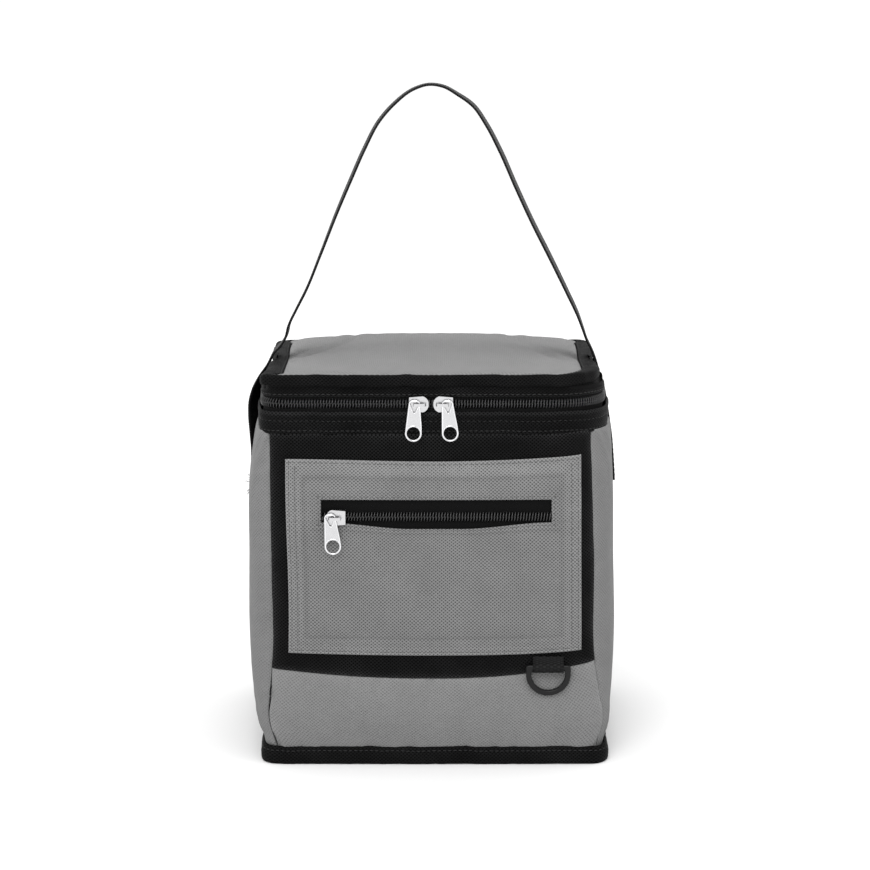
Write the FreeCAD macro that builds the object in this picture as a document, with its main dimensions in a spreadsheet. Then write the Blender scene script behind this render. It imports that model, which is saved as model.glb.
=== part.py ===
"""Soft insulated cooler bag with a zipped lid, a front pocket and a carry strap.

Millimetres. The origin is the centre of the base on the floor, +Z up, and the front faces -Y.
"""
import FreeCAD, Part
import math
import os
import re
import Sketcher

SIZES = {
    # plan of the bag
    "front_face": 77.0,         # outer face of the front and back panels
    "seam_half": 95.5,          # front and back seams, half their distance
    "base_half": 101.0,         # side panels at the base, half width
    "base_belly": 0.4,          # bulge of the side panels at the base
    "corner_half": 107.0,       # side panels where the corners end, half width
    "belly_half": 111.5,        # side panels at their fullest, half width
    "corner_draw": 1.0,         # how far the rim is drawn in from the corners
    "belly_draw": 2.0,          # and from the belly
    "rim_half": 104.5,          # zip band where its corners end, half width
    "rim_belly": 107.5,         # zip band at its fullest, half width
    "rim_corner": 16.0,         # outer corner radius of the zip band
    "rim_back": 66.0,           # how far back the zip runs
    "band_proud": 0.6,          # the zip band in front of the front panel
    "tape_inset": 0.9,
    "coil_proud": 0.3,
    "back_corner": 10.0,        # outer corner radius of the strips behind it
    # layers
    "skin": 1.0,
    "strip": 0.8,
    "tape": 0.6,
    "foam": 4.5,
    "liner_wall": 0.8,
    "board": 2.0,
    "layer_gap": 0.1,
    "body_gap": 0.3,
    "liner_half": 95.0,
    "liner_corner": 8.0,
    "mouth_corner": 14.0,
    "mouth_height": 8.0,
    "side_foam_inset": 6.0,
    # bottom binding
    "base_corner": 4.5,
    "binding_corner": 7.0,
    "binding_inner_corner": 4.6,
    "binding_side": 2.6,        # beyond the side panels
    "binding_front": 2.3,       # beyond the front and back panels
    "binding_inset": 0.5,
    # heights of the seams
    "binding_top": 10.8,
    "lower_panel_top": 52.0,
    "belly_low": 60.0,
    "belly_high": 170.0,
    "band_bottom": 199.3,
    "band_top": 212.6,
    "zip_level": 217.15,
    "upper_tape_height": 6.2,
    "gusset_bottom": 221.3,
    "flange_bottom": 227.1,
    "lid_edge": 233.2,
    "flange_top": 234.0,
    "lid_rise": 6.0,
    "lid_half": 94.6,
    "flange_half": 102.0,
    "flange_front": 2.2,        # the flange beyond the front panel
    "flange_corner": 14.0,
    "flange_gap": 0.2,
    "lid_inset": 0.4,
    "lid_foam_inset": 3.0,
    # hinge strips and zip ends
    "rim_strip_gap": 0.4,
    "lid_strip_gap": 0.6,
    "hinge_half": 86.0,
    "hinge_below": 12.0,        # the hinge tape below the zip's middle
    "hinge_above": 9.0,
    "stop_inset": 1.6,
    "stop_width": 3.0,
    "stop_length": 3.5,
    # zips
    "row_inner": 0.6,           # half the slot between the two coil rows
    "row_outer": 3.0,           # half the height of both rows together
    "row_front": 1.5,           # coil in front of the tape's middle plane
    "row_rear": 0.7,            # coil behind the tape's middle plane
    "main_tape_face": 76.4,     # middle plane of the main zip's tape
    "pocket_tape_face": 79.6,   # middle plane of the pocket zip's tape
    "main_meet": -1.1,          # where the two main sliders meet
    "nose_gap": 1.4,            # from there to each slider's nose
    # sliders and pullers
    "slider_length": 11.2,
    "slider_tail": 4.0,
    "slider_nose": 4.65,
    "plate": 1.0,
    "front_plate": 1.9,         # inner face of the slider's front plate
    "back_plate": 1.1,          # inner face of its back plate
    "bridge_reach": 6.5,
    "bridge_leg": 1.4,
    "bridge_half": 0.8,
    "bridge_tail": 2.4,
    "bridge_nose": 9.8,
    "bridge_corner": 1.0,
    "bridge_bow": 2.6,          # radius of its rounded nose end
    "bridge_slope": 2.5,
    "bridge_inner_slope": 2.9,
    "bridge_drop": 2.2,
    "nose_hang": 8.8,           # a puller that hangs at the nose end, from the slider's tail
    "nose_length": 3.2,
    "nose_bow": 4.8,
    "nose_flat": 1.0,
    "post_rear": 3.4,
    "post_front": 1.4,
    "post_gap": 0.3,
    "lip_gap": 0.3,
    "lip_start": 0.4,
    "pocket_start": 4.0,        # the pocket slider's nose from the window's end
    "puller_face": 4.3,         # middle of the puller in front of the tape
    "puller_half": 0.6,
    "puller_top": 2.9,
    "puller_length": 24.4,
    "puller_neck": 3.35,
    "puller_end": 4.8,
    "puller_hole": 3.85,
    "puller_corner": 2.8,
    "eye_top": 1.3,             # the eye below the puller's top
    "eye_top_half": 1.5,
    "eye_corner": 1.2,
    "eye_half": 2.5,
    "eye_wide": 0.4,            # height of the eye's widest level
    "eye_foot": 4.3,
    "eye_foot_half": 0.6,
    "eye_foot_corner": 0.7,
    "left_tilt": 2.3,
    "right_tilt": -5.4,
    "pocket_tilt": -5.2,
    # pocket
    "pocket_left": -86.3,
    "pocket_right": 86.9,
    "pocket_bottom": 64.7,
    "pocket_top": 182.9,
    "pocket_depth": 3.8,
    "pocket_wall": 1.2,
    "window_left": -66.0,
    "window_right": 70.2,
    "window_bottom": 141.6,
    "window_top": 159.9,
    "pocket_zip": 150.9,
    "tape_margin": 2.0,         # tape hidden beyond the window
    "coil_margin": 0.2,
    # D-ring
    "ring_x": 68.0,
    "ring_z": 60.1,
    "ring_face": 80.4,
    "ring_half": 13.2,
    "ring_bar": 3.2,
    "ring_leg": 3.7,
    "ring_corner": 1.5,
    "ring_rounding": 1.0,
    "loop_inner": 2.0,
    "webbing": 1.2,
    "tab_half": 9.0,
    "tab_top": 64.5,
    "tab_lip": 1.6,
    # carry strap
    "strap_half": 12.5,
    "strap_thick": 1.5,
    "tail_bottom": 153.0,
    "tail_sewn_top": 184.0,
    "tail_face": 112.0,
    "tail_bulge": 115.0,
    "tail_bulge_z": 197.0,
    "tail_neck": 108.4,
    "tail_neck_z": 228.0,
    "strap_foot_x": 108.2,
    "strap_foot_z": 241.1,
    "strap_gap": 0.4,           # between the sewn ends and the free arch
    "strap_knee_x": 96.5,
    "strap_knee_z": 252.0,
    "strap_shoulder_x": 30.0,
    "strap_shoulder_z": 384.0,
    "strap_top": 399.6,
}

os.makedirs("parts", exist_ok=True)
doc = FreeCAD.newDocument("cooler_bag")
sheet = doc.addObject("Spreadsheet::Sheet", "sizes")
for row, (alias, size) in enumerate(SIZES.items(), start=1):
    sheet.set(f"A{row}", alias)
    sheet.set(f"B{row}", str(size))
    sheet.setAlias(f"B{row}", alias)
doc.recompute()

PARTS = []


def cells(text):
    """An expression on the sheet's aliases, as the document wants it."""
    return re.sub(r"[a-z_]+", lambda word: "sizes." + word[0], text)


def size_of(text):
    """The value of an expression on the sheet's aliases."""
    return float(sheet.evalExpression(cells(text)))


def bow(chord, rise):
    """Radius of the arc with this chord and rise, as an expression."""
    return f"((({chord}) / 2) ^ 2 + ({rise}) ^ 2) / (2 * ({rise}))"


def new_body(label):
    body = doc.addObject("PartDesign::Body", label)
    body.Label = label
    PARTS.append(body)
    return body


def new_sketch(body, plane, offset):
    """A sketch on one of the body's own planes, moved along its normal."""
    sketch = body.newObject("Sketcher::SketchObject", body.Label + "_sketch")
    support = [item for item in body.Origin.OriginFeatures if item.Role == plane][0]
    sketch.AttachmentSupport = [(support, "")]
    sketch.MapMode = "FlatFace"
    sketch.setExpression("AttachmentOffset.Base.z", cells(offset))
    return sketch


def pin(sketch, kind, edge, end, text):
    """Hold one end of an edge at a distance from the sketch's origin."""
    number = sketch.addConstraint(Sketcher.Constraint(kind, -1, 1, edge, end, size_of(text)))
    sketch.setExpression(f"Constraints[{number}]", cells(text))


def draw(sketch, corners):
    """A closed outline, anticlockwise: (x, y) or (x, y, radius of the edge that leaves it).

    A positive radius bulges outwards, a negative one inwards.
    """
    points = [FreeCAD.Vector(size_of(corner[0]), size_of(corner[1]), 0) for corner in corners]
    ends = []
    for number, corner in enumerate(corners):
        begin = points[number]
        finish = points[(number + 1) % len(points)]
        if len(corner) == 2:
            edge = sketch.addGeometry(Part.LineSegment(begin, finish), False)
            ends.append((edge, 1, 2))
            continue
        inward = corner[2].startswith("-")
        radius_text = corner[2].lstrip("-")
        radius = size_of(radius_text)
        if inward:
            begin, finish = finish, begin
        chord = finish - begin
        across = FreeCAD.Vector(-chord.y, chord.x, 0).normalize()
        centre = (begin + finish) / 2 + across * math.sqrt(max(radius ** 2 - chord.Length ** 2 / 4, 0))
        start_angle = math.atan2(begin.y - centre.y, begin.x - centre.x)
        end_angle = math.atan2(finish.y - centre.y, finish.x - centre.x)
        if end_angle < start_angle:
            end_angle += 2 * math.pi
        circle = Part.Circle(centre, FreeCAD.Vector(0, 0, 1), radius)
        edge = sketch.addGeometry(Part.ArcOfCircle(circle, start_angle, end_angle), False)
        number_of_radius = sketch.addConstraint(Sketcher.Constraint("Radius", edge, radius))
        sketch.setExpression(f"Constraints[{number_of_radius}]", cells(radius_text))
        ends.append((edge, 2, 1) if inward else (edge, 1, 2))
    for number, corner in enumerate(corners):
        edge, first, last = ends[number]
        pin(sketch, "DistanceX", edge, first, corner[0])
        pin(sketch, "DistanceY", edge, first, corner[1])
        next_edge, next_first, _ = ends[(number + 1) % len(corners)]
        sketch.addConstraint(Sketcher.Constraint("Coincident", edge, last, next_edge, next_first))


def draw_circle(sketch, x, y, radius):
    centre = FreeCAD.Vector(size_of(x), size_of(y), 0)
    circle = Part.Circle(centre, FreeCAD.Vector(0, 0, 1), size_of(radius))
    edge = sketch.addGeometry(circle, False)
    number = sketch.addConstraint(Sketcher.Constraint("Radius", edge, size_of(radius)))
    sketch.setExpression(f"Constraints[{number}]", cells(radius))
    pin(sketch, "DistanceX", edge, 3, x)
    pin(sketch, "DistanceY", edge, 3, y)


def pad(body, plane, outlines, start, length):
    """Pad the outlines from start along the plane's normal (+Z, -Y for XZ_Plane, +X for YZ_Plane)."""
    sketch = new_sketch(body, plane, start)
    for corners in outlines:
        draw(sketch, corners)
    feature = body.newObject("PartDesign::Pad", body.Label + "_pad")
    feature.Profile = sketch
    feature.setExpression("Length", cells(length))
    return feature


def solid(label, plane, outlines, start, length):
    body = new_body(label)
    pad(body, plane, outlines, start, length)
    return body


def rectangle(left, low, right, high):
    return [(left, low), (right, low), (right, high), (left, high)]


def rounded(half_x, half_y, radius):
    """A rounded rectangle about the origin."""
    inner_x = f"{half_x} - ({radius})"
    inner_y = f"{half_y} - ({radius})"
    return [
        (inner_x, f"-({half_y})", radius), (half_x, f"-({inner_y})"),
        (half_x, inner_y, radius), (inner_x, half_y),
        (f"-({inner_x})", half_y, radius), (f"-({half_x})", inner_y),
        (f"-({half_x})", f"-({inner_y})", radius), (f"-({inner_x})", f"-({half_y})"),
    ]


def box(label, x, y, z, length, width, height):
    """A board as a plain box: its lowest corner and its size, as expressions."""
    board = doc.addObject("Part::Box", label)
    board.Label = label
    for name, text in (("Length", length), ("Width", width), ("Height", height)):
        board.setExpression(name, cells(text))
    for name, text in (("x", x), ("y", y), ("z", z)):
        board.setExpression("Placement.Base." + name, cells(text))
    PARTS.append(board)
    return board


# ---- outer shell -------------------------------------------------------------------------------

def front_panels():
    """The grey lower panel and the black upper panel, sewn edge to edge."""
    low = rectangle("-seam_half", "layer_gap + skin", "seam_half", "lower_panel_top - layer_gap")
    high = rectangle("-seam_half", "lower_panel_top", "seam_half", "band_bottom - layer_gap")
    solid("front_lower_panel", "XZ_Plane", [low], "front_face - skin", "skin")
    solid("front_upper_panel", "XZ_Plane", [high], "front_face - skin", "skin")


def back_panel():
    whole = rectangle("-seam_half", "layer_gap + skin", "seam_half", "band_bottom - layer_gap")
    solid("back_panel", "XZ_Plane", [whole], "-front_face", "skin")


def side_outline(side, corner_half, belly_half):
    """Plan of a side panel: it wraps both corners and bulges between them."""
    reach = f"front_face - ({corner_half} - seam_half)"
    turn = f"{corner_half} - seam_half"
    belly = bow(f"2 * ({reach})", f"{belly_half} - {corner_half}")
    outline = [
        ("seam_half + layer_gap", "-front_face", turn), (corner_half, f"-({reach})", belly),
        (corner_half, reach, turn), ("seam_half + layer_gap", "front_face"),
        ("seam_half + layer_gap", "front_face - skin", "-(" + turn + " - skin / 2)"),
        (f"{corner_half} - skin", reach, "-(" + belly + ")"),
        (f"{corner_half} - skin", f"-({reach})", "-(" + turn + " - skin / 2)"),
        ("seam_half + layer_gap", "skin - front_face"),
    ]
    return mirrored(outline) if side < 0 else outline


def mirrored(corners):
    """The same outline turned over in x, still anticlockwise."""
    turned = []
    for number in range(len(corners) - 1, -1, -1):
        corner = corners[number]
        before = corners[number - 1]
        point = (f"-({corner[0]})", corner[1])
        turned.append(point + tuple(before[2:]))
    return turned


def side_panel(label, side):
    """A side panel, lofted through its plan at the base, the fullest part and the rim."""
    body = new_body(label)
    levels = [
        ("layer_gap + skin", "base_half", "(base_half + base_belly)"),
        ("binding_top", "base_half", "(base_half + base_belly)"),
        ("belly_low", "corner_half", "belly_half"),
        ("belly_high", "corner_half", "belly_half"),
        ("band_bottom - layer_gap", "(corner_half - corner_draw)", "(belly_half - belly_draw)"),
    ]
    sketches = []
    for level, corner_half, belly_half in levels:
        sketch = new_sketch(body, "XY_Plane", level)
        draw(sketch, side_outline(side, corner_half, belly_half))
        sketches.append(sketch)
    loft = body.newObject("PartDesign::AdditiveLoft", label + "_loft")
    loft.Profile = sketches[0]
    loft.Sections = sketches[1:]
    loft.Ruled = True


def base():
    """The bottom panel, its stiffening board and the binding round the bottom edge."""
    solid("bottom_panel", "XY_Plane", [rounded("base_half", "front_face", "base_corner")], "0", "skin")
    box("base_board", "-liner_half", "-(front_face - foam)", "skin + layer_gap",
        "2 * liner_half", "2 * (front_face - foam)", "board")
    outer = rounded("base_half + binding_side", "front_face + binding_front", "binding_corner")
    inner = rounded("base_half + binding_inset", "front_face + layer_gap", "binding_inner_corner")
    solid("bottom_binding", "XY_Plane", [outer, inner], "0", "binding_top")


# ---- insulation and lining ---------------------------------------------------------------------

def insulation():
    """Foam boards between the outer panels and the lining."""
    floor = "skin + board + 3 * layer_gap"
    wall_top = "band_bottom - layer_gap"
    inner_face = "front_face - skin - layer_gap - foam"
    box("bottom_foam", "-liner_half", f"-({inner_face})", floor,
        "2 * liner_half", f"2 * ({inner_face})", "foam")
    box("front_foam", "-liner_half", "-(front_face - skin - layer_gap)", floor,
        "2 * liner_half", "foam", f"{wall_top} - ({floor})")
    box("back_foam", "-liner_half", inner_face, floor,
        "2 * liner_half", "foam", f"{wall_top} - ({floor})")
    for label, x in (("left_foam", "-(liner_half + layer_gap + foam)"),
                     ("right_foam", "liner_half + layer_gap")):
        box(label, x, "-(front_face - side_foam_inset)", floor, "foam", "2 * (front_face - side_foam_inset)",
            f"{wall_top} - ({floor})")


def liner():
    """The leak-proof lining, an open tub, and the binding round its mouth."""
    face = "front_face - skin - 3 * layer_gap - foam"
    floor = "skin + board + foam + 5 * layer_gap"
    body = new_body("liner")
    outer = rounded("liner_half - layer_gap", face, "liner_corner")
    pad(body, "XY_Plane", [outer], floor, f"band_bottom - layer_gap - ({floor})")
    hollow = new_sketch(body, "XY_Plane", f"{floor} + liner_wall")
    draw(hollow, rounded("liner_half - layer_gap - liner_wall", f"{face} - liner_wall", "liner_corner - liner_wall"))
    doc.recompute()
    full = body.Shape.Volume
    cut = body.newObject("PartDesign::Pocket", "liner_hollow")
    cut.Profile = hollow
    cut.Reversed = True
    cut.setExpression("Length", cells("band_bottom"))
    doc.recompute()
    if body.Shape.Volume > full / 4:
        raise SystemExit("the liner was not hollowed")
    edge_outer = rounded("liner_half + layer_gap + foam", "front_face - skin - layer_gap", "mouth_corner")
    edge_inner = rounded("liner_half - layer_gap - liner_wall", f"{face} - liner_wall", "liner_corner - liner_wall")
    solid("mouth_binding", "XY_Plane", [edge_outer, edge_inner], "band_bottom", "mouth_height")


# ---- main zip ----------------------------------------------------------------------------------

def u_strip(label, inset, thick, low, height):
    """A strip standing on edge along the front and both sides, inset from the band's face."""
    outline = []
    for depth, sign in ((inset, ""), (f"({inset} + {thick})", "-")):
        half = f"rim_half - {depth}"
        face = f"front_face + band_proud - {depth}"
        turn = f"rim_corner - {depth}"
        front_y = f"-({face} - ({turn}))"
        side = sign + "(" + bow("rim_back + front_face + band_proud - rim_corner", "rim_belly - rim_half") + ")"
        corner = sign + "(" + turn + ")"
        path = [
            (f"-({half})", "rim_back", side), (f"-({half})", front_y, corner),
            (f"-({half} - ({turn}))", f"-({face})"), (f"{half} - ({turn})", f"-({face})", corner),
            (half, front_y, side), (half, "rim_back"),
        ]
        outline += path if sign == "" else backwards(path)
    return solid(label, "XY_Plane", [outline], low, height)


def backwards(path):
    """An open run of corners in the other direction, with each radius on the same stretch."""
    turned = []
    for number in range(len(path) - 1, -1, -1):
        before = path[number - 1] if number else ()
        turned.append(tuple(path[number][:2]) + tuple(before[2:]))
    return turned


def zip_band():
    """The black strips below and above the zip, with the tape and coil row each one holds."""
    u_strip("lower_zip_band", "0", "strip", "band_bottom", "band_top - band_bottom")
    u_strip("lower_zip_tape", "tape_inset", "tape", "band_bottom + 1", "zip_level - row_outer - band_bottom - 1.1")
    u_strip("lower_coil", "(-coil_proud)", "(row_front + row_rear)", "zip_level - row_outer",
            "row_outer - row_inner")
    u_strip("lid_gusset", "0", "strip", "gusset_bottom", "flange_bottom - gusset_bottom - layer_gap")
    u_strip("upper_zip_tape", "tape_inset", "tape", "zip_level + row_outer + layer_gap", "upper_tape_height")
    u_strip("upper_coil", "(-coil_proud)", "(row_front + row_rear)", "zip_level + row_inner",
            "row_outer - row_inner")


def back_strip(label, low, height):
    """A strip along the back that wraps both corners and meets the ends of the zip."""
    half, face, turn, end = "rim_half", "front_face", "back_corner", "rim_back + body_gap"
    outer = [
        (half, end), (half, f"{face} - {turn}", turn), (f"{half} - {turn}", face),
        (f"{turn} - {half}", face, turn), (f"-{half}", f"{face} - {turn}"), (f"-{half}", end),
    ]
    inset = f"({turn} - strip)"
    inner = [
        (f"{half} - strip", end), (f"{half} - strip", f"{face} - {turn}", f"-{inset}"),
        (f"{half} - {turn}", f"{face} - strip"), (f"{turn} - {half}", f"{face} - strip", f"-{inset}"),
        (f"strip - {half}", f"{face} - {turn}"), (f"strip - {half}", end),
    ]
    solid(label, "XY_Plane", [outer + backwards(inner)], low, height)


def back_strips():
    """The two black strips behind the zip's ends, and the fabric hinge sewn over both."""
    back_strip("back_rim_strip", "band_bottom", "zip_level - rim_strip_gap - band_bottom")
    back_strip("lid_back_strip", "zip_level + lid_strip_gap",
               "flange_bottom - layer_gap - zip_level - lid_strip_gap")
    hinge = rectangle("-hinge_half", "zip_level - hinge_below", "hinge_half", "zip_level + hinge_above")
    solid("hinge_tape", "XZ_Plane", [hinge], "-(front_face + body_gap + strip)", "strip")


def zip_stops():
    """The sewn-over ends of the main zip, one each side, low enough to clear the lid."""
    for label, x in (("left_zip_stop", "stop_inset - rim_half"),
                     ("right_zip_stop", "rim_half - stop_inset - stop_width")):
        box(label, x, "rim_back + layer_gap", "zip_level - row_outer",
            "stop_width", "stop_length", "row_outer - row_inner")


# ---- lid ---------------------------------------------------------------------------------------

def crowned_sheet(label, half, depth, edge_top, thick):
    """A layer of the lid: level from front to back, crowned from side to side."""
    crown = bow(f"2 * {half}", "lid_rise")
    outline = [
        (f"-{half}", f"{edge_top} - {thick}", f"-({crown})"), (half, f"{edge_top} - {thick}"),
        (half, edge_top, crown), (f"-{half}", edge_top),
    ]
    solid(label, "XZ_Plane", [outline], f"-({depth})", f"2 * ({depth})")


def lid():
    """The lid's top panel, its foam, its lining and the binding flange round its edge."""
    crowned_sheet("lid_panel", "lid_half", "front_face - lid_inset", "lid_edge", "skin")
    crowned_sheet("lid_foam", "lid_half", "front_face - lid_foam_inset", "(lid_edge - skin - layer_gap)", "foam")
    crowned_sheet("lid_liner", "lid_half", "front_face - lid_foam_inset",
                  "(lid_edge - skin - foam - 2 * layer_gap)", "liner_wall")
    outer = rounded("flange_half", "front_face + flange_front", "flange_corner")
    inner = rectangle("-(lid_half + layer_gap)", "flange_gap - front_face",
                      "lid_half + layer_gap", "front_face - flange_gap")
    solid("lid_binding", "XY_Plane", [outer, inner], "flange_bottom", "flange_top - flange_bottom")


# ---- pocket ------------------------------------------------------------------------------------

def pocket():
    """The zipped front pocket: a shallow pouch with a window for its zip."""
    body = new_body("pocket_panel")
    edge = rectangle("pocket_left", "pocket_bottom", "pocket_right", "pocket_top")
    window = rectangle("window_left", "window_bottom", "window_right", "window_top")
    pad(body, "XZ_Plane", [edge, window], "front_face + layer_gap", "pocket_depth - layer_gap")
    doc.recompute()
    full = body.Shape.Volume
    hollow = new_sketch(body, "XZ_Plane", "front_face")
    draw(hollow, rectangle("pocket_left + pocket_wall", "pocket_bottom + pocket_wall",
                           "pocket_right - pocket_wall", "pocket_top - pocket_wall"))
    cut = body.newObject("PartDesign::Pocket", "pocket_hollow")
    cut.Profile = hollow
    cut.Reversed = True
    cut.setExpression("Length", cells("pocket_depth - strip"))
    doc.recompute()
    if body.Shape.Volume > full / 2:
        raise SystemExit("the pocket was not hollowed")
    for label, low, high in (
            ("pocket_lower_tape", "window_bottom - tape_margin", "pocket_zip - row_outer - layer_gap"),
            ("pocket_upper_tape", "pocket_zip + row_outer + layer_gap", "window_top + tape_margin")):
        box(label, "window_left - tape_margin", "-(pocket_tape_face + tape / 2)", low,
            "window_right - window_left + 2 * tape_margin", "tape", f"{high} - ({low})")
    for label, low in (("pocket_lower_coil", "pocket_zip - row_outer"),
                       ("pocket_upper_coil", "pocket_zip + row_inner")):
        box(label, "window_left + coil_margin", "-(pocket_tape_face + row_front)", low,
            "window_right - window_left - 2 * coil_margin", "row_front + row_rear", "row_outer - row_inner")


# ---- sliders and pullers -----------------------------------------------------------------------

def slider(label, tail_x, direction, zip_z, tape_face, flange_sides):
    """A zip slider: two plates, the post between them, edge flanges and the bridge in front."""
    body = new_body(label)
    turn = mirrored if direction < 0 else list
    plate_outline = [
        ("0", "-slider_tail"), ("slider_length - nose_length", "-slider_nose", "nose_bow"),
        ("slider_length", "-nose_flat"), ("slider_length", "nose_flat", "nose_bow"),
        ("slider_length - nose_length", "slider_nose"), ("0", "slider_tail"),
    ]
    pad(body, "XZ_Plane", [turn(plate_outline)], "front_plate", "plate")
    post = rectangle("slider_length - post_rear", "-(row_inner - post_gap)",
                     "slider_length - post_front", "row_inner - post_gap")
    pad(body, "XZ_Plane", [turn(post)], "-back_plate", "front_plate + back_plate")
    pad(body, "XZ_Plane", [turn(plate_outline)], "-(back_plate + plate)", "plate")
    for side in flange_sides:
        low, high = "row_outer + lip_gap", "slider_tail"
        if side < 0:
            low, high = f"-{high}", f"-({low})"
        lip = rectangle("lip_start", low, "slider_length - post_rear", high)
        pad(body, "XZ_Plane", [turn(lip)], "tape", "front_plate - tape")
        pad(body, "XZ_Plane", [turn(lip)], "-back_plate", "back_plate - tape")
    root = "-(front_plate + plate)"
    top = "-bridge_reach"
    under = "-(bridge_reach - plate)"
    arch = [
        ("bridge_tail", root), ("bridge_tail", f"{top} + bridge_corner", "bridge_corner"),
        ("bridge_tail + bridge_corner", top), ("bridge_nose - bridge_slope", top, "bridge_bow"),
        ("bridge_nose", f"{top} + bridge_drop"), ("bridge_nose", root),
        ("bridge_nose - bridge_leg", root), ("bridge_nose - bridge_leg", f"{under} + bridge_corner"),
        ("bridge_nose - bridge_inner_slope", under), ("bridge_tail + bridge_leg", under),
        ("bridge_tail + bridge_leg", root),
    ]
    pad(body, "XY_Plane", [turn(arch)], "-bridge_half", "2 * bridge_half")
    for axis, text in (("x", tail_x), ("y", f"-{tape_face}"), ("z", zip_z)):
        body.setExpression("Placement.Base." + axis, cells(text))


def puller(label, pivot_x, zip_z, tape_face, tilt):
    """A flat pull tab: a rounded triangular eye over the bridge's leg and a round finger hole."""
    body = new_body(label)
    bottom = "(puller_top - puller_length)"
    hole_z = f"({bottom} + puller_end)"
    edge = [
        ("puller_end", hole_z), ("puller_neck", "puller_top - puller_corner", "puller_corner"),
        ("puller_neck - puller_corner", "puller_top"),
        ("puller_corner - puller_neck", "puller_top", "puller_corner"),
        ("-puller_neck", "puller_top - puller_corner"), ("-puller_end", hole_z, "puller_end"),
        ("0", bottom, "puller_end"),
    ]
    eye = [
        ("eye_top_half", "puller_top - eye_top"), ("-eye_top_half", "puller_top - eye_top", "eye_corner"),
        ("-eye_half", "eye_wide"), ("-eye_foot_half", "-eye_foot", "eye_foot_corner"),
        ("eye_foot_half", "-eye_foot"), ("eye_half", "eye_wide", "eye_corner"),
    ]
    sketch = new_sketch(body, "XZ_Plane", "-puller_half")
    draw(sketch, edge)
    draw(sketch, eye)
    draw_circle(sketch, "0", hole_z, "puller_hole")
    plate = body.newObject("PartDesign::Pad", label + "_pad")
    plate.Profile = sketch
    plate.setExpression("Length", cells("2 * puller_half"))
    turned = FreeCAD.Rotation(FreeCAD.Vector(0, 1, 0), size_of(tilt))
    body.Placement = FreeCAD.Placement(FreeCAD.Vector(), turned)
    for axis, text in (("x", pivot_x), ("y", f"-({tape_face} + puller_face)"), ("z", zip_z)):
        body.setExpression("Placement.Base." + axis, cells(text))


def pull_hardware():
    """Three sliders, each with its puller, hung a little askew as they really fall."""
    leg = "bridge_tail + bridge_leg / 2"
    left_tail = "main_meet - nose_gap - slider_length"
    right_tail = "main_meet + nose_gap + slider_length"
    pocket_tail = "window_left + pocket_start + slider_length"
    slider("left_slider", left_tail, 1, "zip_level", "main_tape_face", (-1,))
    slider("right_slider", right_tail, -1, "zip_level", "main_tape_face", (-1,))
    slider("pocket_slider", pocket_tail, -1, "pocket_zip", "pocket_tape_face", (-1, 1))
    puller("left_puller", f"{left_tail} + {leg}", "zip_level", "main_tape_face", "left_tilt")
    puller("right_puller", f"{right_tail} - ({leg})", "zip_level", "main_tape_face", "right_tilt")
    puller("pocket_puller", f"{pocket_tail} - nose_hang", "pocket_zip", "pocket_tape_face", "pocket_tilt")


# ---- D-ring ------------------------------------------------------------------------------------

def d_ring():
    """A moulded D-ring with rounded edges, and the webbing tab that holds its straight bar."""
    ring = new_body("d_ring")
    outlines = []
    for grow in ("0", "ring_bar"):
        half = f"(ring_half - {grow})"
        top = f"(ring_bar / 2 - {grow})"
        outlines.append([
            (half, "-ring_leg"), (half, f"{top} - ring_corner", "ring_corner"), (f"{half} - ring_corner", top),
            (f"ring_corner - {half}", top, "ring_corner"), (f"-{half}", f"{top} - ring_corner"),
            (f"-{half}", "-ring_leg", half),
            ("0", f"-ring_leg - {half}", half),
        ])
    feature = pad(ring, "XZ_Plane", outlines, "-ring_bar / 2", "ring_bar")
    doc.recompute()
    rounding = ring.newObject("PartDesign::Fillet", "d_ring_rounding")
    faces = [number for number, face in enumerate(feature.Shape.Faces, start=1)
             if abs(face.normalAt(0, 0).y) > 0.9 and len(face.Wires) == 2]
    rounding.Base = (feature, [f"Face{number}" for number in faces])
    rounding.setExpression("Radius", cells("ring_rounding"))
    for axis, text in (("x", "ring_x"), ("y", "-ring_face"), ("z", "ring_z")):
        ring.setExpression("Placement.Base." + axis, cells(text))
    near = "-(ring_face - loop_inner)"
    far = "-(ring_face + loop_inner)"
    outer = "loop_inner + webbing"
    webbing = [
        (f"{far} - webbing", "ring_z", outer), ("-ring_face", f"ring_z - ({outer})", outer),
        (f"{near} + webbing", "ring_z"), (f"{near} + webbing", "tab_top"), (f"{near} - webbing", "tab_top"),
        (f"{far} - webbing", "ring_z + tab_lip"),
    ]
    eye = [
        (near, "ring_z"), (near, "ring_z + loop_inner"), ("-ring_face", "ring_z + loop_inner", "loop_inner"),
        (far, "ring_z", "loop_inner"), ("-ring_face", "ring_z - loop_inner", "loop_inner"),
    ]
    solid("d_ring_tab", "YZ_Plane", [webbing, eye], "ring_x - tab_half", "2 * tab_half")


# ---- carry strap -------------------------------------------------------------------------------

def strap_tail(label, side):
    """A sewn end of the strap: flat on the side panel, then loose up past the lid's edge."""
    inner = [
        ("tail_face", "tail_bottom"), ("tail_face", "tail_sewn_top"), ("tail_bulge", "tail_bulge_z"),
        ("tail_neck", "tail_neck_z"), ("tail_neck", "strap_foot_z - strap_gap"),
    ]
    outer = [(f"{x} + strap_thick", z) for x, z in inner]
    outline = outer + inner[::-1]
    solid(label, "XZ_Plane", [mirrored(outline) if side < 0 else outline], "-strap_half", "2 * strap_half")


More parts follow.
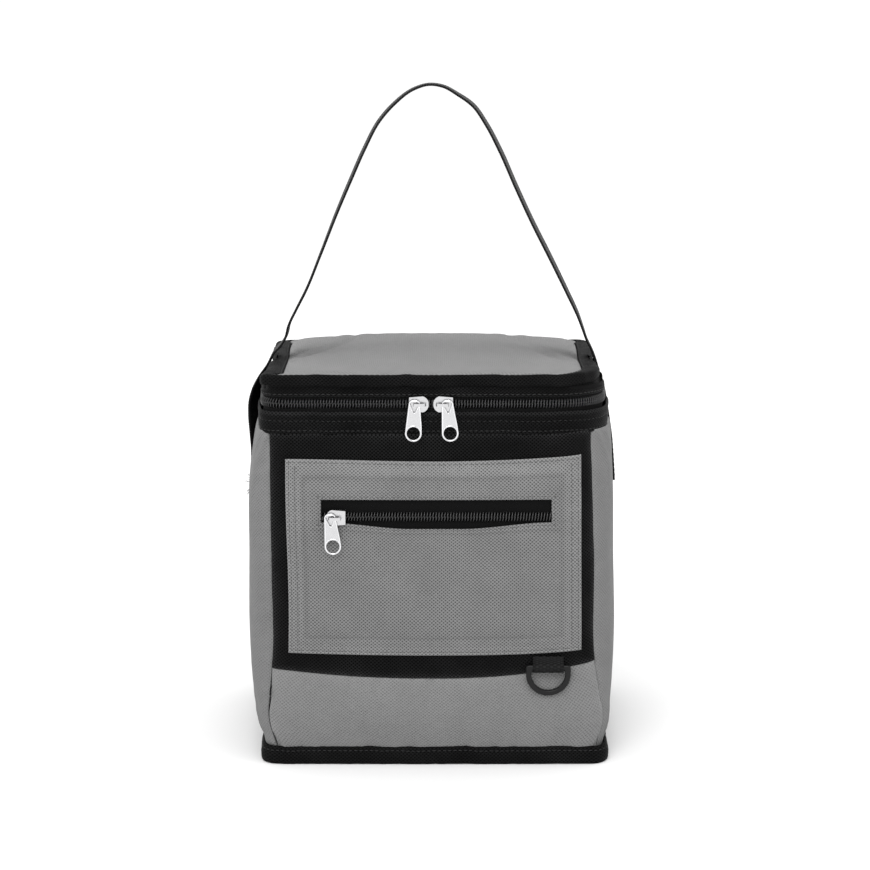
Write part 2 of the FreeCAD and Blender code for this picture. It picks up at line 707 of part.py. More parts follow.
def carry_strap():
    """The strap's free arch: straight legs that lean in, and a rounded top."""
    top_span = bow("2 * strap_shoulder_x", "strap_top - strap_shoulder_z")
    top_under = bow("2 * strap_shoulder_x - 2 * strap_thick", "strap_top - strap_shoulder_z - strap_thick / 2")
    outline = [
        ("strap_foot_x + strap_thick", "strap_foot_z"), ("strap_knee_x + strap_thick", "strap_knee_z"),
        ("strap_shoulder_x", "strap_shoulder_z", top_span), ("-strap_shoulder_x", "strap_shoulder_z"),
        ("-(strap_knee_x + strap_thick)", "strap_knee_z"), ("-(strap_foot_x + strap_thick)", "strap_foot_z"),
        ("-strap_foot_x", "strap_foot_z"), ("-strap_knee_x", "strap_knee_z"),
        ("strap_thick - strap_shoulder_x", "strap_shoulder_z - strap_thick / 2", "-(" + top_under + ")"),
        ("strap_shoulder_x - strap_thick", "strap_shoulder_z - strap_thick / 2"),
        ("strap_knee_x", "strap_knee_z"), ("strap_foot_x", "strap_foot_z"),
    ]
    solid("carry_strap", "XZ_Plane", [outline], "-strap_half", "2 * strap_half")


def check_and_export():
    """Stop on any failed object or bad shape, then write every sub-part."""
    doc.recompute()
    for item in doc.Objects:
        if "Invalid" in item.State or "Error" in item.State:
            raise SystemExit(f"{item.Label} failed: {item.State}")
    for item in PARTS:
        shape = item.Shape
        if shape.isNull() or not shape.isValid() or shape.Volume <= 0:
            raise SystemExit(f"{item.Label} has no valid shape")
    for item in PARTS:
        item.Shape.exportStep(f"parts/{item.Label}.step")
    print(len(PARTS), "sub-parts written")


front_panels()
back_panel()
side_panel("left_panel", -1)
side_panel("right_panel", 1)
base()
insulation()
liner()
zip_band()
back_strips()
zip_stops()
lid()
pocket()
pull_hardware()
d_ring()
strap_tail("left_strap_tail", -1)
strap_tail("right_strap_tail", 1)
carry_strap()
check_and_export()
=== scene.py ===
import bpy
import math
import numpy as np
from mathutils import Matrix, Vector


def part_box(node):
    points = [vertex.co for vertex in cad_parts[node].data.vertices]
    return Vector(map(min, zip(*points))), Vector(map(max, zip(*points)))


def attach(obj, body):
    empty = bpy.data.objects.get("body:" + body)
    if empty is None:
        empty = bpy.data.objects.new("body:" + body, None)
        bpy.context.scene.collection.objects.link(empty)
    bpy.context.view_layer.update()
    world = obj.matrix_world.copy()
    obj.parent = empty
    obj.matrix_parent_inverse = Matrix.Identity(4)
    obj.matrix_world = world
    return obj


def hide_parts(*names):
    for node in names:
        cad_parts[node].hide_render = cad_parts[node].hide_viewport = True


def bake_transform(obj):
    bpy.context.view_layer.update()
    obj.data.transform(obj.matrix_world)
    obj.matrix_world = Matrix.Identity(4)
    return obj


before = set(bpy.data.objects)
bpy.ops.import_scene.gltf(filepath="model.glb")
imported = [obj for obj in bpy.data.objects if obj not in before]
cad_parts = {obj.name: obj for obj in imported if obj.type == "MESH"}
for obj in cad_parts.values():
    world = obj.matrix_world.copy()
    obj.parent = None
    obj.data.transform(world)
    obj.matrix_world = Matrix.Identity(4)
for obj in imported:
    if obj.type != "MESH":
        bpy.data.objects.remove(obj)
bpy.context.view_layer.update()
scene = bpy.context.scene
MM = 0.001


# ---- the room --------------------------------------------------------------------------------
# A plain white floor that runs out to white, lit by one broad soft light in front and above, two
# weaker ones at the sides, and an even white surround.

def shader(name, **values):
    """A material with one Principled shader. Values go on the shader's own sockets."""
    material = bpy.data.materials.new(name)
    material.use_nodes = True
    surface = material.node_tree.nodes["Principled BSDF"]
    for socket, value in values.items():
        surface.inputs[socket.replace("_", " ")].default_value = value
    return material, material.node_tree, surface


FLOOR_HALF = 6.0
floor_mesh = bpy.data.meshes.new("floor")
floor_mesh.from_pydata([(x * FLOOR_HALF, y * FLOOR_HALF, 0) for x, y in ((-1, -1), (1, -1), (1, 1), (-1, 1))],
                       [], [(0, 1, 2, 3)])
floor = bpy.data.objects.new("floor", floor_mesh)
scene.collection.objects.link(floor)
floor_white, floor_tree, floor_face = shader("floor_white", Roughness=0.9, Specular_IOR_Level=0.0)
floor_place = floor_tree.nodes.new("ShaderNodeTexCoord")
floor_far = floor_tree.nodes.new("ShaderNodeVectorMath")
floor_far.operation = "LENGTH"
floor_shade = floor_tree.nodes.new("ShaderNodeMapRange")
floor_shade.interpolation_type = "SMOOTHSTEP"
for label, value in (("From Min", 0.15), ("From Max", 1.6), ("To Min", 0.77), ("To Max", 0.985)):
    floor_shade.inputs[label].default_value = value
floor_tree.links.new(floor_place.outputs["Object"], floor_far.inputs[0])
floor_tree.links.new(floor_far.outputs["Value"], floor_shade.inputs["Value"])
floor_tree.links.new(floor_shade.outputs[0], floor_face.inputs["Base Color"])
floor_mesh.materials.append(floor_white)

world = bpy.data.worlds.new("surround")
world.use_nodes = True
world.node_tree.nodes["Background"].inputs["Color"].default_value = (1, 1, 1, 1)
world.node_tree.nodes["Background"].inputs["Strength"].default_value = 1.05
scene.world = world
scene.view_settings.view_transform = "Standard"

for label, place, size, watts in (("key", (-0.5, -1.9, 2.3), 1.5, 30.0), ("top", (0.1, -0.1, 2.3), 1.2, 17.0),
                                  ("left", (-2.2, -0.6, 1.2), 1.4, 9.0), ("right", (2.2, -0.8, 1.2), 1.4, 6.0)):
    lamp = bpy.data.lights.new(label, "AREA")
    lamp.size, lamp.energy = size, watts
    holder = bpy.data.objects.new(label, lamp)
    holder.location = place
    holder.rotation_euler = (Vector((0, 0, 0.15)) - Vector(place)).to_track_quat("-Z", "Y").to_euler()
    scene.collection.objects.link(holder)

camera = bpy.data.objects.new("camera", bpy.data.cameras.new("camera"))
camera.location = (0.0012, -1.175, 0.398)
camera.rotation_euler = (math.radians(90 - 10.28), 0, 0)
camera.data.lens = 79.86
scene.collection.objects.link(camera)
scene.camera = camera


# ---- side, front and back walls ----------------------------------------------------------------
# Four soft walls of embossed nonwoven over foam sheet, sewn to each other down the corners. They
# belly out at the sides, and the front is a black panel with a grey one below it.

def thread_nodes(tree, kind, **settings):
    """A new node of a material or group, with its settings."""
    made = tree.nodes.new(kind)
    for key, value in settings.items():
        setattr(made, key, value)
    return made


def sums(tree, operation, *terms, clamp=False):
    """A Math node on values or sockets."""
    made = thread_nodes(tree, "ShaderNodeMath", operation=operation, use_clamp=clamp)
    for socket, term in zip(made.inputs, terms):
        if isinstance(term, (int, float)):
            socket.default_value = term
        else:
            tree.links.new(term, socket)
    return made.outputs[0]


def group_of(name, inputs, outputs):
    """An empty shader node group with named inputs and outputs."""
    tree = bpy.data.node_groups.new(name, "ShaderNodeTree")
    for label, kind, value in inputs:
        socket = tree.interface.new_socket(label, in_out="INPUT", socket_type="NodeSocket" + kind)
        if value is not None:
            socket.default_value = value
    for label in outputs:
        tree.interface.new_socket(label, in_out="OUTPUT", socket_type="NodeSocketFloat")
    return tree, tree.nodes.new("NodeGroupInput").outputs, tree.nodes.new("NodeGroupOutput").inputs


def noise_in(tree, place, scale, detail, rough):
    """Noise on a place, from 0 to 1."""
    made = thread_nodes(tree, "ShaderNodeTexNoise")
    made.inputs["Scale"].default_value = scale
    made.inputs["Detail"].default_value = detail
    made.inputs["Roughness"].default_value = rough
    tree.links.new(place, made.inputs["Vector"])
    return made.outputs["Fac"]


def shades(tree, factor, dark, light):
    """A colour between two shades."""
    mix = thread_nodes(tree, "ShaderNodeMix", data_type="RGBA")
    mix.inputs["A"].default_value, mix.inputs["B"].default_value = (*dark, 1), (*light, 1)
    tree.links.new(factor, mix.inputs["Factor"])
    return mix.outputs["Result"]


def relief(tree, surface, height, strength, distance):
    """Raises a surface's shading by a height."""
    bump = thread_nodes(tree, "ShaderNodeBump")
    bump.inputs["Strength"].default_value, bump.inputs["Distance"].default_value = strength, distance
    tree.links.new(height, bump.inputs["Height"])
    tree.links.new(bump.outputs[0], surface.inputs["Normal"])


# The emboss is a diagonal lattice of small pits pressed into matted fibres.
emboss, given, result = group_of(
    "embossed_nonwoven",
    [("Cloth", "Vector", None), ("Across", "Float", 0.0023), ("Along", "Float", 0.00205), ("Depth", "Float", 1.0)],
    ["Pit", "Tone", "Height"])
apart = thread_nodes(emboss, "ShaderNodeSeparateXYZ")
emboss.links.new(given["Cloth"], apart.inputs[0])
waves = []
for axis, pitch in (("X", "Across"), ("Y", "Along")):
    turns = sums(emboss, "DIVIDE", apart.outputs[axis], given[pitch])
    waves.append(sums(emboss, "COSINE", sums(emboss, "MULTIPLY", turns, 2 * math.pi)))
lattice = sums(emboss, "MULTIPLY", *waves)
pit = thread_nodes(emboss, "ShaderNodeMapRange", interpolation_type="SMOOTHSTEP")
emboss.links.new(lattice, pit.inputs["Value"])
pit.inputs["From Min"].default_value, pit.inputs["From Max"].default_value = 0.0, 0.8
fibres = noise_in(emboss, given["Cloth"], 1400.0, 4.0, 0.7)
clouds = noise_in(emboss, given["Cloth"], 34.0, 3.0, 0.5)
uneven = noise_in(emboss, given["Cloth"], 210.0, 3.0, 0.6)
deep = sums(emboss, "ADD", 0.35, sums(emboss, "MULTIPLY", uneven, 1.3))
pit_depth = sums(emboss, "MULTIPLY", pit.outputs[0], deep)
emboss.links.new(pit_depth, result["Pit"])
spread = sums(emboss, "MULTIPLY", sums(emboss, "SUBTRACT", fibres, 0.5), 0.55)
drift = sums(emboss, "MULTIPLY", sums(emboss, "SUBTRACT", clouds, 0.5), 0.35)
# the pits darken the colour: partly the bonded dots' own tone, partly painted shade in the pits and a painted sheen on
# the ridges between
pressed = sums(emboss, "MULTIPLY", sums(emboss, "MULTIPLY", pit_depth, -0.75), given["Depth"])
emboss.links.new(sums(emboss, "ADD", sums(emboss, "ADD", 0.7, spread), sums(emboss, "ADD", drift, pressed)),
                 result["Tone"])
emboss.links.new(sums(emboss, "ADD", sums(emboss, "MULTIPLY", fibres, 0.25),
                      sums(emboss, "MULTIPLY", pit_depth, -1.0)), result["Height"])


def nonwoven(name, dark, light, depth=1.0, rough=0.82, sheen=0.0, gloss=0.2, contrast=1.0):
    """Embossed nonwoven between a dark and a light shade, paler along folded edges: partly wear, partly a painted
    highlight.
    """
    material, tree, surface = shader(name, Roughness=rough, Sheen_Weight=sheen, Sheen_Roughness=0.6)
    surface.inputs["Specular IOR Level"].default_value = gloss
    cloth = thread_nodes(tree, "ShaderNodeUVMap", uv_map="cloth")
    wear_and_highlight = thread_nodes(tree, "ShaderNodeAttribute", attribute_name="edge")
    weave = thread_nodes(tree, "ShaderNodeGroup", node_tree=emboss)
    weave.inputs["Depth"].default_value = depth
    tree.links.new(cloth.outputs[0], weave.inputs["Cloth"])
    # the edge values lighten the colour: partly wear, partly a painted highlight on folded edges, plus any painted
    # light and shade a piece adds
    paler = sums(tree, "MULTIPLY", wear_and_highlight.outputs["Fac"], 0.35)
    tone = sums(tree, "ADD", weave.outputs["Tone"], paler, clamp=True)
    tree.links.new(shades(tree, sums(tree, "POWER", tone, contrast), dark, light), surface.inputs["Base Color"])
    relief(tree, surface, weave.outputs["Height"], 0.85, 0.0004)
    return material


grey_cloth = nonwoven("grey_cloth", (0.099, 0.099, 0.099), (0.192, 0.192, 0.192), depth=0.55, sheen=0.04)
# the same grey cloth painted lighter, for the lid's top and the lower front panel: painted light
painted_lit_grey_cloth = nonwoven("painted_lit_grey_cloth", (0.114, 0.114, 0.114), (0.222, 0.222, 0.222), depth=0.55, sheen=0.04)
black_cloth = nonwoven("black_cloth", (0.0002, 0.0002, 0.0002), (0.028, 0.028, 0.0285), depth=1.5, rough=0.6,
                       gloss=0.04, contrast=4.0)


def curve(x, xs, ys):
    """A smooth line through given points, level past its ends."""
    xs, ys = np.asarray(xs, float), np.asarray(ys, float)
    slope = np.gradient(ys, xs)
    i = np.clip(np.searchsorted(xs, x) - 1, 0, len(xs) - 2)
    h = xs[i + 1] - xs[i]
    t = np.clip((x - xs[i]) / h, 0, 1)
    return (ys[i] * (1 + 2 * t) * (1 - t) ** 2 + h * slope[i] * t * (1 - t) ** 2
            + ys[i + 1] * t * t * (3 - 2 * t) - h * slope[i + 1] * t * t * (1 - t))


def ease(t):
    """A smooth step from 0 to 1, level outside."""
    t = np.clip(t, 0, 1)
    return t * t * (3 - 2 * t)


def wander(s, seed, wavelength, size):
    """Smooth uneven drift along a seam: s in mm."""
    dice = np.random.RandomState(seed)
    total = 0
    for k in range(5):
        period = wavelength * (0.6 + 0.35 * k)
        total = total + np.sin(2 * math.pi * np.asarray(s) / period + dice.rand() * 6.3) * dice.rand()
    return total * size / 1.6


# Plans of the bag at its levels: half widths where the corners end and at the belly, and radii.
LEVEL = [0, 10, 22, 34, 46, 60, 120, 172, 199, 212, 226]
LEFT = [-98.6, -99.4, -103.5, -105.5, -106.8, -107.6, -107.5, -106.4, -102.4, -100.2, -99.0]
LEFT_FULL = [-100, -101, -106.8, -109.4, -111.2, -112.4, -112.4, -110.8, -106.6, -103.6, -101.6]
RIGHT = [100.6, 101.4, 104.5, 105.5, 106.2, 106.8, 106.2, 105.6, 103.8, 102.2, 99.6]
RIGHT_FULL = [101.6, 102.6, 107, 109, 110.6, 111.6, 110.8, 109.6, 107.4, 105.0, 101.4]
FRONT = [-76.2, -76.6, -77.6, -78.2, -77.6, -76.9, -76.6, -76.6, -76.7, -77.0, -77.0]
CROWN = [0.2, 0.4, 1.0, 1.2, 0.8, 0.5, 0.5, 0.5, 0.4, 0.4, 0.4]
BACK = [76.2, 76.6, 78.0, 78.8, 79.0, 79.2, 79.4, 79.0, 77.2, 77.0, 77.0]
TURN_LEFT = [8, 8, 10, 11, 12, 13, 14, 15, 15, 14, 13]
TURN_RIGHT = [9, 9, 12, 14, 16, 18, 23, 28, 32, 33, 33]
STEPS = 1600


def run_lengths(line):
    """Distance along a line at each of its points."""
    return np.concatenate([[0], np.cumsum(np.linalg.norm(np.diff(line, axis=0), axis=1))])


def looped(line):
    """A line with its first point again at its end."""
    return np.concatenate([line, line[:1]])


def loop_of(left, left_full, right, right_full, front, crown, back, turn_left, turn_right, turn_back=12.0):
    """One closed plan, anticlockwise from the middle of the left side, evenly spaced."""
    runs = []

    def side(x, full, y0, y1):
        t = np.linspace(0, 1, 200)
        runs.append(np.stack([x + (full - x) * (1 - (2 * t - 1) ** 2), y0 + (y1 - y0) * t], 1))

    def corner(cx, cy, radius, start):
        a = np.radians(np.linspace(start, start + 90, 60))
        runs.append(np.stack([cx + radius * np.cos(a), cy + radius * np.sin(a)], 1))

    side(left, left_full, back - turn_back, front + turn_left)
    corner(left + turn_left, front + turn_left, turn_left, 180)
    x = np.linspace(left + turn_left, right - turn_right, 200)
    middle, half = (left + turn_left + right - turn_right) / 2, (right - turn_right - left - turn_left) / 2
    runs.append(np.stack([x, front - crown * (1 - ((x - middle) / half) ** 2)], 1))
    corner(right - turn_right, front + turn_right, turn_right, 270)
    side(right, right_full, front + turn_right, back - turn_back)
    corner(right - turn_back, back - turn_back, turn_back, 0)
    runs.append(np.stack([np.linspace(right - turn_back, left + turn_back, 200), np.full(200, back)], 1))
    corner(left + turn_back, back - turn_back, turn_back, 90)
    line = np.concatenate(runs)
    line = np.roll(line, -100, axis=0)
    ring = looped(line)
    length = run_lengths(ring)
    s = np.linspace(0, length[-1], STEPS, endpoint=False)
    even = np.stack([np.interp(s, length, ring[:, k]) for k in (0, 1)], 1)
    soft = sum(np.roll(even, k, axis=0) for k in range(-8, 9)) / 17
    return soft


def plan(z, inset=0.0):
    """The bag's outline at a height, drawn in by inset."""
    values = [curve(z, LEVEL, ys) for ys in
              (LEFT, LEFT_FULL, RIGHT, RIGHT_FULL, FRONT, CROWN, BACK, TURN_LEFT, TURN_RIGHT)]
    line = loop_of(*values)
    # the strap's sewn ends press both sides in
    pressed = 1.6 * ease((z - 140) / 14) * np.exp(-(line[:, 1] / 15) ** 4)
    line[:, 0] -= np.sign(line[:, 0]) * pressed * (np.abs(line[:, 0]) > 50)
    return line - outward(line) * inset


def outward(line, closed=True):
    """Level unit normals of a line that runs anticlockwise."""
    if closed:
        along = np.roll(line, -1, axis=0) - np.roll(line, 1, axis=0)
    else:
        along = np.gradient(line, axis=0)
    along = along[:, :2] / np.linalg.norm(along[:, :2], axis=1)[:, None]
    return np.stack([along[:, 1], -along[:, 0]], 1)


HEIGHTS = np.linspace(0, 226, 114)
PLANS = np.array([plan(z) for z in HEIGHTS])
# where the corner seams run, as x at each level
SEAM_LEVEL = [0, 11, 20, 28, 42, 60, 120, 199]
SEAM_LEFT = [-92, -93.5, -96.8, -98.4, -97.4, -95.2, -94.8, -95.2]
SEAM_RIGHT = [97, 98.5, 101.0, 102.2, 100.0, 96.6, 95.4, 92.6]
SEAM_BACK = 96.0


def crossings(z_index):
    """Positions along a plan of the four corner seams, in steps."""
    line, z = PLANS[z_index], HEIGHTS[z_index]
    x, y = line[:, 0], line[:, 1]
    order = np.arange(STEPS)
    found = []
    for target, want in ((curve(z, SEAM_LEVEL, SEAM_LEFT), (y < -40) & (x < 0)),
                         (curve(z, SEAM_LEVEL, SEAM_RIGHT), (y < -20) & (x > 0)),
                         (SEAM_BACK, (y > 40) & (x > 0)), (-SEAM_BACK, (y > 40) & (x < 0))):
        rows = order[want]
        found.append(rows[np.argmin(np.abs(x[want] - target))])
    return found


SEAMS = np.array([crossings(i) for i in range(len(HEIGHTS))], float)
SEAMS[:, 0] = np.convolve(np.pad(SEAMS[:, 0], 2, "edge"), np.ones(5) / 5, "valid")
SEAMS[:, 1] = np.convolve(np.pad(SEAMS[:, 1], 2, "edge"), np.ones(5) / 5, "valid")
FRONT_WALL, RIGHT_WALL, BACK_WALL, LEFT_WALL = range(4)


def on_wall(wall, u, z):
    """Points of a wall: u from 0 to 1 between its seams, z in mm. Arrays of one shape."""
    level = np.clip(z / (HEIGHTS[1] - HEIGHTS[0]), 0, len(HEIGHTS) - 1.001)
    low = level.astype(int)
    share = (level - low)[..., None]
    out = 0
    for row, weight in ((low, 1 - share), (low + 1, share)):
        start = SEAMS[row, wall]
        stop = SEAMS[row, (wall + 1) % 4]
        stop = np.where(stop < start, stop + STEPS, stop)
        at = start + (stop - start) * u
        i = np.floor(at).astype(int)
        part = (at - i)[..., None]
        out = out + weight * (PLANS[row, i % STEPS] * (1 - part) + PLANS[row, (i + 1) % STEPS] * part)
    return np.concatenate([out, z[..., None]], -1)


def spaced(count, crowd=0.75):
    """Fractions from 0 to 1 that crowd towards both ends."""
    t = np.linspace(0, 1, count)
    return t - crowd * np.sin(2 * math.pi * t) / (2 * math.pi)


def grid_normals(grid):
    """Unit normals of a grid of points."""
    du, dv = np.gradient(grid, axis=1), np.gradient(grid, axis=0)
    n = np.cross(du, dv)
    return n / np.maximum(np.linalg.norm(n, axis=-1), 1e-9)[..., None]


def reach(grid):
    """Distance of each point of a grid from its four edges: left, right, bottom, top, in mm."""
    across = np.concatenate([np.zeros((grid.shape[0], 1)),
                             np.cumsum(np.linalg.norm(np.diff(grid, axis=1), axis=-1), axis=1)], 1)
    along = np.concatenate([np.zeros((1, grid.shape[1])),
                            np.cumsum(np.linalg.norm(np.diff(grid, axis=0), axis=-1), axis=0)], 0)
    return across, across[:, -1:] - across, along, along[-1:] - along


def tucked(grid, depth=1.6, width=4.0, sides=(1, 1, 1, 1)):
    """Turns a panel's edges in at its seams, round, by depth over width."""
    pull = 0
    for far, share in zip(reach(grid), sides):
        t = np.clip(1 - far / width, 0, 1)
        pull = np.maximum(pull, share * depth * (1 - np.sqrt(np.clip(1 - t * t, 0, 1))))
    return grid - grid_normals(grid) * pull[..., None]


def puckered(grid, seed, size, sides=(1, 1, 1, 1)):
    """Small ripples that run out of the seams, where the thread draws the cloth up."""
    left, right, low, high = reach(grid)
    lift = 0
    for k, (far, along, share) in enumerate(((left, low, sides[0]), (right, low, sides[1]),
                                             (low, left, sides[2]), (high, left, sides[3]))):
        fade = np.exp(-far / 14.0) * (1 - np.exp(-far / 1.5))
        lift = lift + share * fade * wander(along + 0.25 * far, seed + k, 17.0, size)
    return grid + grid_normals(grid) * np.asarray(lift)[..., None]


SIM_SCALE = 10.0
SIM_FRAMES = 20


def settled(grid, slack, push, cap):
    """Cloth settling between its seams: cut a little larger than its frame, and pushed from inside."""
    rows, columns = grid.shape[:2]
    mesh = bpy.data.meshes.new("settling")
    number = np.arange(rows * columns).reshape(rows, columns)
    quads = np.stack([number[:-1, :-1], number[:-1, 1:], number[1:, 1:], number[1:, :-1]], -1).reshape(-1, 4)
    mesh.from_pydata((grid.reshape(-1, 3) * MM * SIM_SCALE).tolist(), [], quads.tolist())
    body = bpy.data.objects.new("settling", mesh)
    scene.collection.objects.link(body)
    edge = np.ones((rows, columns), bool)
    edge[1:-1, 1:-1] = False
    pins = body.vertex_groups.new(name="pins")
    pins.add(number[edge].tolist(), 1.0, "REPLACE")
    cloth = body.modifiers.new("cloth", "CLOTH")
    cloth.settings.quality = 6
    cloth.settings.mass = 0.3
    cloth.settings.tension_stiffness = cloth.settings.compression_stiffness = 12
    cloth.settings.shear_stiffness = 6
    cloth.settings.bending_stiffness = 1.2
    cloth.settings.vertex_group_mass = "pins"
    cloth.settings.shrink_min = -slack
    cloth.settings.use_pressure = True
    cloth.settings.uniform_pressure_force = push
    cloth.settings.effector_weights.gravity = 0
    cloth.point_cache.frame_start, cloth.point_cache.frame_end = 1, SIM_FRAMES
    for number_of_frame in range(1, SIM_FRAMES + 1):
        scene.frame_set(number_of_frame)
    shape = body.evaluated_get(bpy.context.evaluated_depsgraph_get()).to_mesh()
    points = np.zeros(rows * columns * 3)
    shape.vertices.foreach_get("co", points)
    points = points.reshape(rows, columns, 3) / (MM * SIM_SCALE)
    scene.frame_set(1)
    bpy.data.objects.remove(body)
    move = points - grid
    size = np.linalg.norm(move, axis=-1)
    return grid + move * (np.tanh(size / cap) * cap / np.maximum(size, 1e-6))[..., None]


def cloth_piece(name, grid, wall, material, hole=None, wear_and_highlight=2.2, wrap=False, shade=0.0):
    """A closed piece of cloth from its outer face, wall mm thick, with its own cloth map."""
    rows, columns = grid.shape[:2]
    normal = grid_normals(grid)
    if wrap:
        normal[:, 0] = normal[:, -1] = (normal[:, 0] + normal[:, -1]) / 2
    inner = grid - normal * wall
    number = np.arange(rows * columns).reshape(rows, columns)
    if wrap:
        number[:, -1] = number[:, 0]
    face_ids = np.stack([number[:-1, :-1], number[:-1, 1:], number[1:, 1:], number[1:, :-1]], -1)
    column_ids, row_ids = np.meshgrid(np.arange(columns - 1), np.arange(rows - 1))
    cells = np.stack([column_ids, column_ids + 1, column_ids + 1, column_ids], -1)
    lines = np.stack([row_ids, row_ids, row_ids + 1, row_ids + 1], -1)
    keep = np.ones((rows - 1, columns - 1), bool)
    if hole is not None:
        keep[hole] = False
    faces, cells, lines = face_ids[keep], cells[keep], lines[keep]
    left, _, low, _ = reach(grid)
    across = np.broadcast_to(left.mean(0), left.shape)
    along = np.broadcast_to(low.mean(1)[:, None], low.shape)
    total = rows * columns
    edges = {}
    for quad in faces.tolist():
        for a, b in zip(quad, quad[1:] + quad[:1]):
            edges[(a, b)] = edges.get((a, b), 0) + 1
    rims = [(a, b) for a, b in edges if (b, a) not in edges]
    polygons = faces.tolist() + (faces[:, ::-1] + total).tolist()
    polygons += [[b, a, a + total, b + total] for a, b in rims]
    maps = [(across[r, c], along[r, c]) for f in zip(lines.tolist(), cells.tolist()) for r, c in zip(*f)]
    maps += [(across[r, c], along[r, c]) for f in zip(lines.tolist(), cells.tolist())
             for r, c in list(zip(*f))[::-1]]
    flat = across.ravel(), along.ravel()
    for a, b in rims:
        maps += [(flat[0][b], flat[1][b]), (flat[0][a], flat[1][a]),
                 (flat[0][a] + wall, flat[1][a] + wall), (flat[0][b] + wall, flat[1][b] + wall)]
    # edge values: paler towards every edge, partly wear and partly a painted highlight; shade adds a piece's own
    # painted light and shade
    edge = np.zeros(total)
    for far in reach(grid):
        edge = np.maximum(edge, np.exp(-np.maximum(far, 0) / wear_and_highlight).ravel())
    if wrap:
        edge[:] = np.exp(-np.minimum(*reach(grid)[2:]) / wear_and_highlight).ravel()
    edge = edge + np.ravel(shade * np.ones(grid.shape[:2]))
    points = np.concatenate([grid.reshape(-1, 3), inner.reshape(-1, 3)])
    return mesh_piece(name, points, polygons, maps, material, np.concatenate([edge, edge]))


def mesh_piece(name, points, polygons, maps, material, edge=None):
    """A mesh from points in mm, its faces, and each face corner's place on the cloth in mm."""
    used = np.zeros(len(points), bool)
    used[[i for face in polygons for i in face]] = True
    renumber = np.cumsum(used) - 1
    polygons = [[int(renumber[i]) for i in face] for face in polygons]
    mesh = bpy.data.meshes.new(name)
    mesh.from_pydata((np.asarray(points)[used] * MM).tolist(), [], polygons)
    mesh.uv_layers.new(name="cloth").data.foreach_set("uv", (np.array(maps, float) * MM).ravel())
    if edge is not None:
        shares = np.asarray(edge)[used].astype(np.float32)
        mesh.attributes.new("edge", "FLOAT", "POINT").data.foreach_set("value", shares)
    mesh.materials.append(material)
    mesh.shade_smooth()
    mesh.validate()
    piece = bpy.data.objects.new(name, mesh)
    scene.collection.objects.link(piece)
    return piece


WALL_TOP = 200.5
WALL_FOOT = 5.0
FOAM_WALL = 4.6


def lower_seam(u):
    """Height of the seam between the grey and the black front panels."""
    return 52.6 + 6.2 * np.abs(2 * u - 1) ** 2.2 + 4.6 * np.clip(2 * u - 1, 0, 1) ** 2.2


u, v = np.meshgrid(spaced(110), spaced(34))
front_low = on_wall(FRONT_WALL, u, WALL_FOOT + (lower_seam(u) - WALL_FOOT) * v)
front_low = settled(tucked(front_low, sides=(1, 1, 0, 0.7)), slack=0.012, push=1.0, cap=1.6)
front_low = puckered(front_low, 11, 0.3, (1, 1, 1, 0.6))
fold = np.exp(-((front_low[..., 0] + 95 + 0.12 * (front_low[..., 2] - 30)) / 3.0) ** 2)
fold = fold * np.exp(-((front_low[..., 2] - 36) / 17) ** 2)
front_low = front_low - grid_normals(front_low) * (1.6 * fold)[..., None]
front_lower = cloth_piece("front_lower", front_low, FOAM_WALL, painted_lit_grey_cloth)
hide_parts("front_lower_panel")

u, v = np.meshgrid(spaced(120), spaced(90))
front_high = on_wall(FRONT_WALL, u, lower_seam(u) + (WALL_TOP - lower_seam(u)) * v)
front_high = settled(tucked(front_high, depth=1.3, sides=(1, 1, 0.5, 0)), slack=0.008, push=0.3, cap=0.7)
front_high = puckered(front_high, 21, 0.25)
front_upper = cloth_piece("front_upper", front_high, FOAM_WALL, black_cloth)
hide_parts("front_upper_panel", "front_foam")

u, v = np.meshgrid(spaced(100), spaced(110))
back_grid = on_wall(BACK_WALL, u, WALL_FOOT + (WALL_TOP - WALL_FOOT) * v)
back_grid = settled(tucked(back_grid, sides=(1, 1, 0, 0)), slack=0.015, push=0.8, cap=1.8)
back_grid = puckered(back_grid, 31, 0.45)
back_wall = cloth_piece("back_wall", back_grid, FOAM_WALL, grey_cloth)
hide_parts("back_panel", "back_foam")

side_walls = []
for label, wall, seed in (("left", LEFT_WALL, 41), ("right", RIGHT_WALL, 51)):
    u, v = np.meshgrid(spaced(100), spaced(120))
    side_grid = on_wall(wall, u, WALL_FOOT + (WALL_TOP - WALL_FOOT) * v)
    side_grid = settled(tucked(side_grid, sides=(1, 1, 0, 0)), slack=0.012, push=0.5, cap=0.7)
    side_grid = puckered(side_grid, seed, 0.5)
    side_wall = cloth_piece(label + "_wall", side_grid, FOAM_WALL, grey_cloth)
    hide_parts(label + "_panel", label + "_foam")
    side_walls.append(side_wall)
for piece, finish in ((front_lower, "grey_fabric"), (front_upper, "black_fabric"), (back_wall, "grey_fabric"),
                      (side_walls[0], "grey_fabric"), (side_walls[1], "grey_fabric")):
    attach(piece, "bag")


# ---- base --------------------------------------------------------------------------------------
# A black nonwoven bottom over a stiff board and foam, with a wide folded binding sewn round the
# edge. The binding is one row of stitches deep and a little wavy.

def tube_faces(count, size, s, around, closed=True):
    """Faces of a tube of count sections with size points each, and their places on the cloth."""
    polygons, maps = [], []
    for i in range(count if closed else count - 1):
        j = (i + 1) % count
        for k in range(size):
            m = (k + 1) % size
            polygons.append([i * size + k, j * size + k, j * size + m, i * size + m])
            maps += [(s[i], around[k]), (s[i + 1], around[k]),
                     (s[i + 1], around[k + 1]), (s[i], around[k + 1])]
    if not closed:
        for i, order in ((0, range(size)), (count - 1, range(size - 1, -1, -1))):
            polygons.append([i * size + k for k in order])
            maps += [(s[i], around[k]) for k in order]
    return polygons, maps


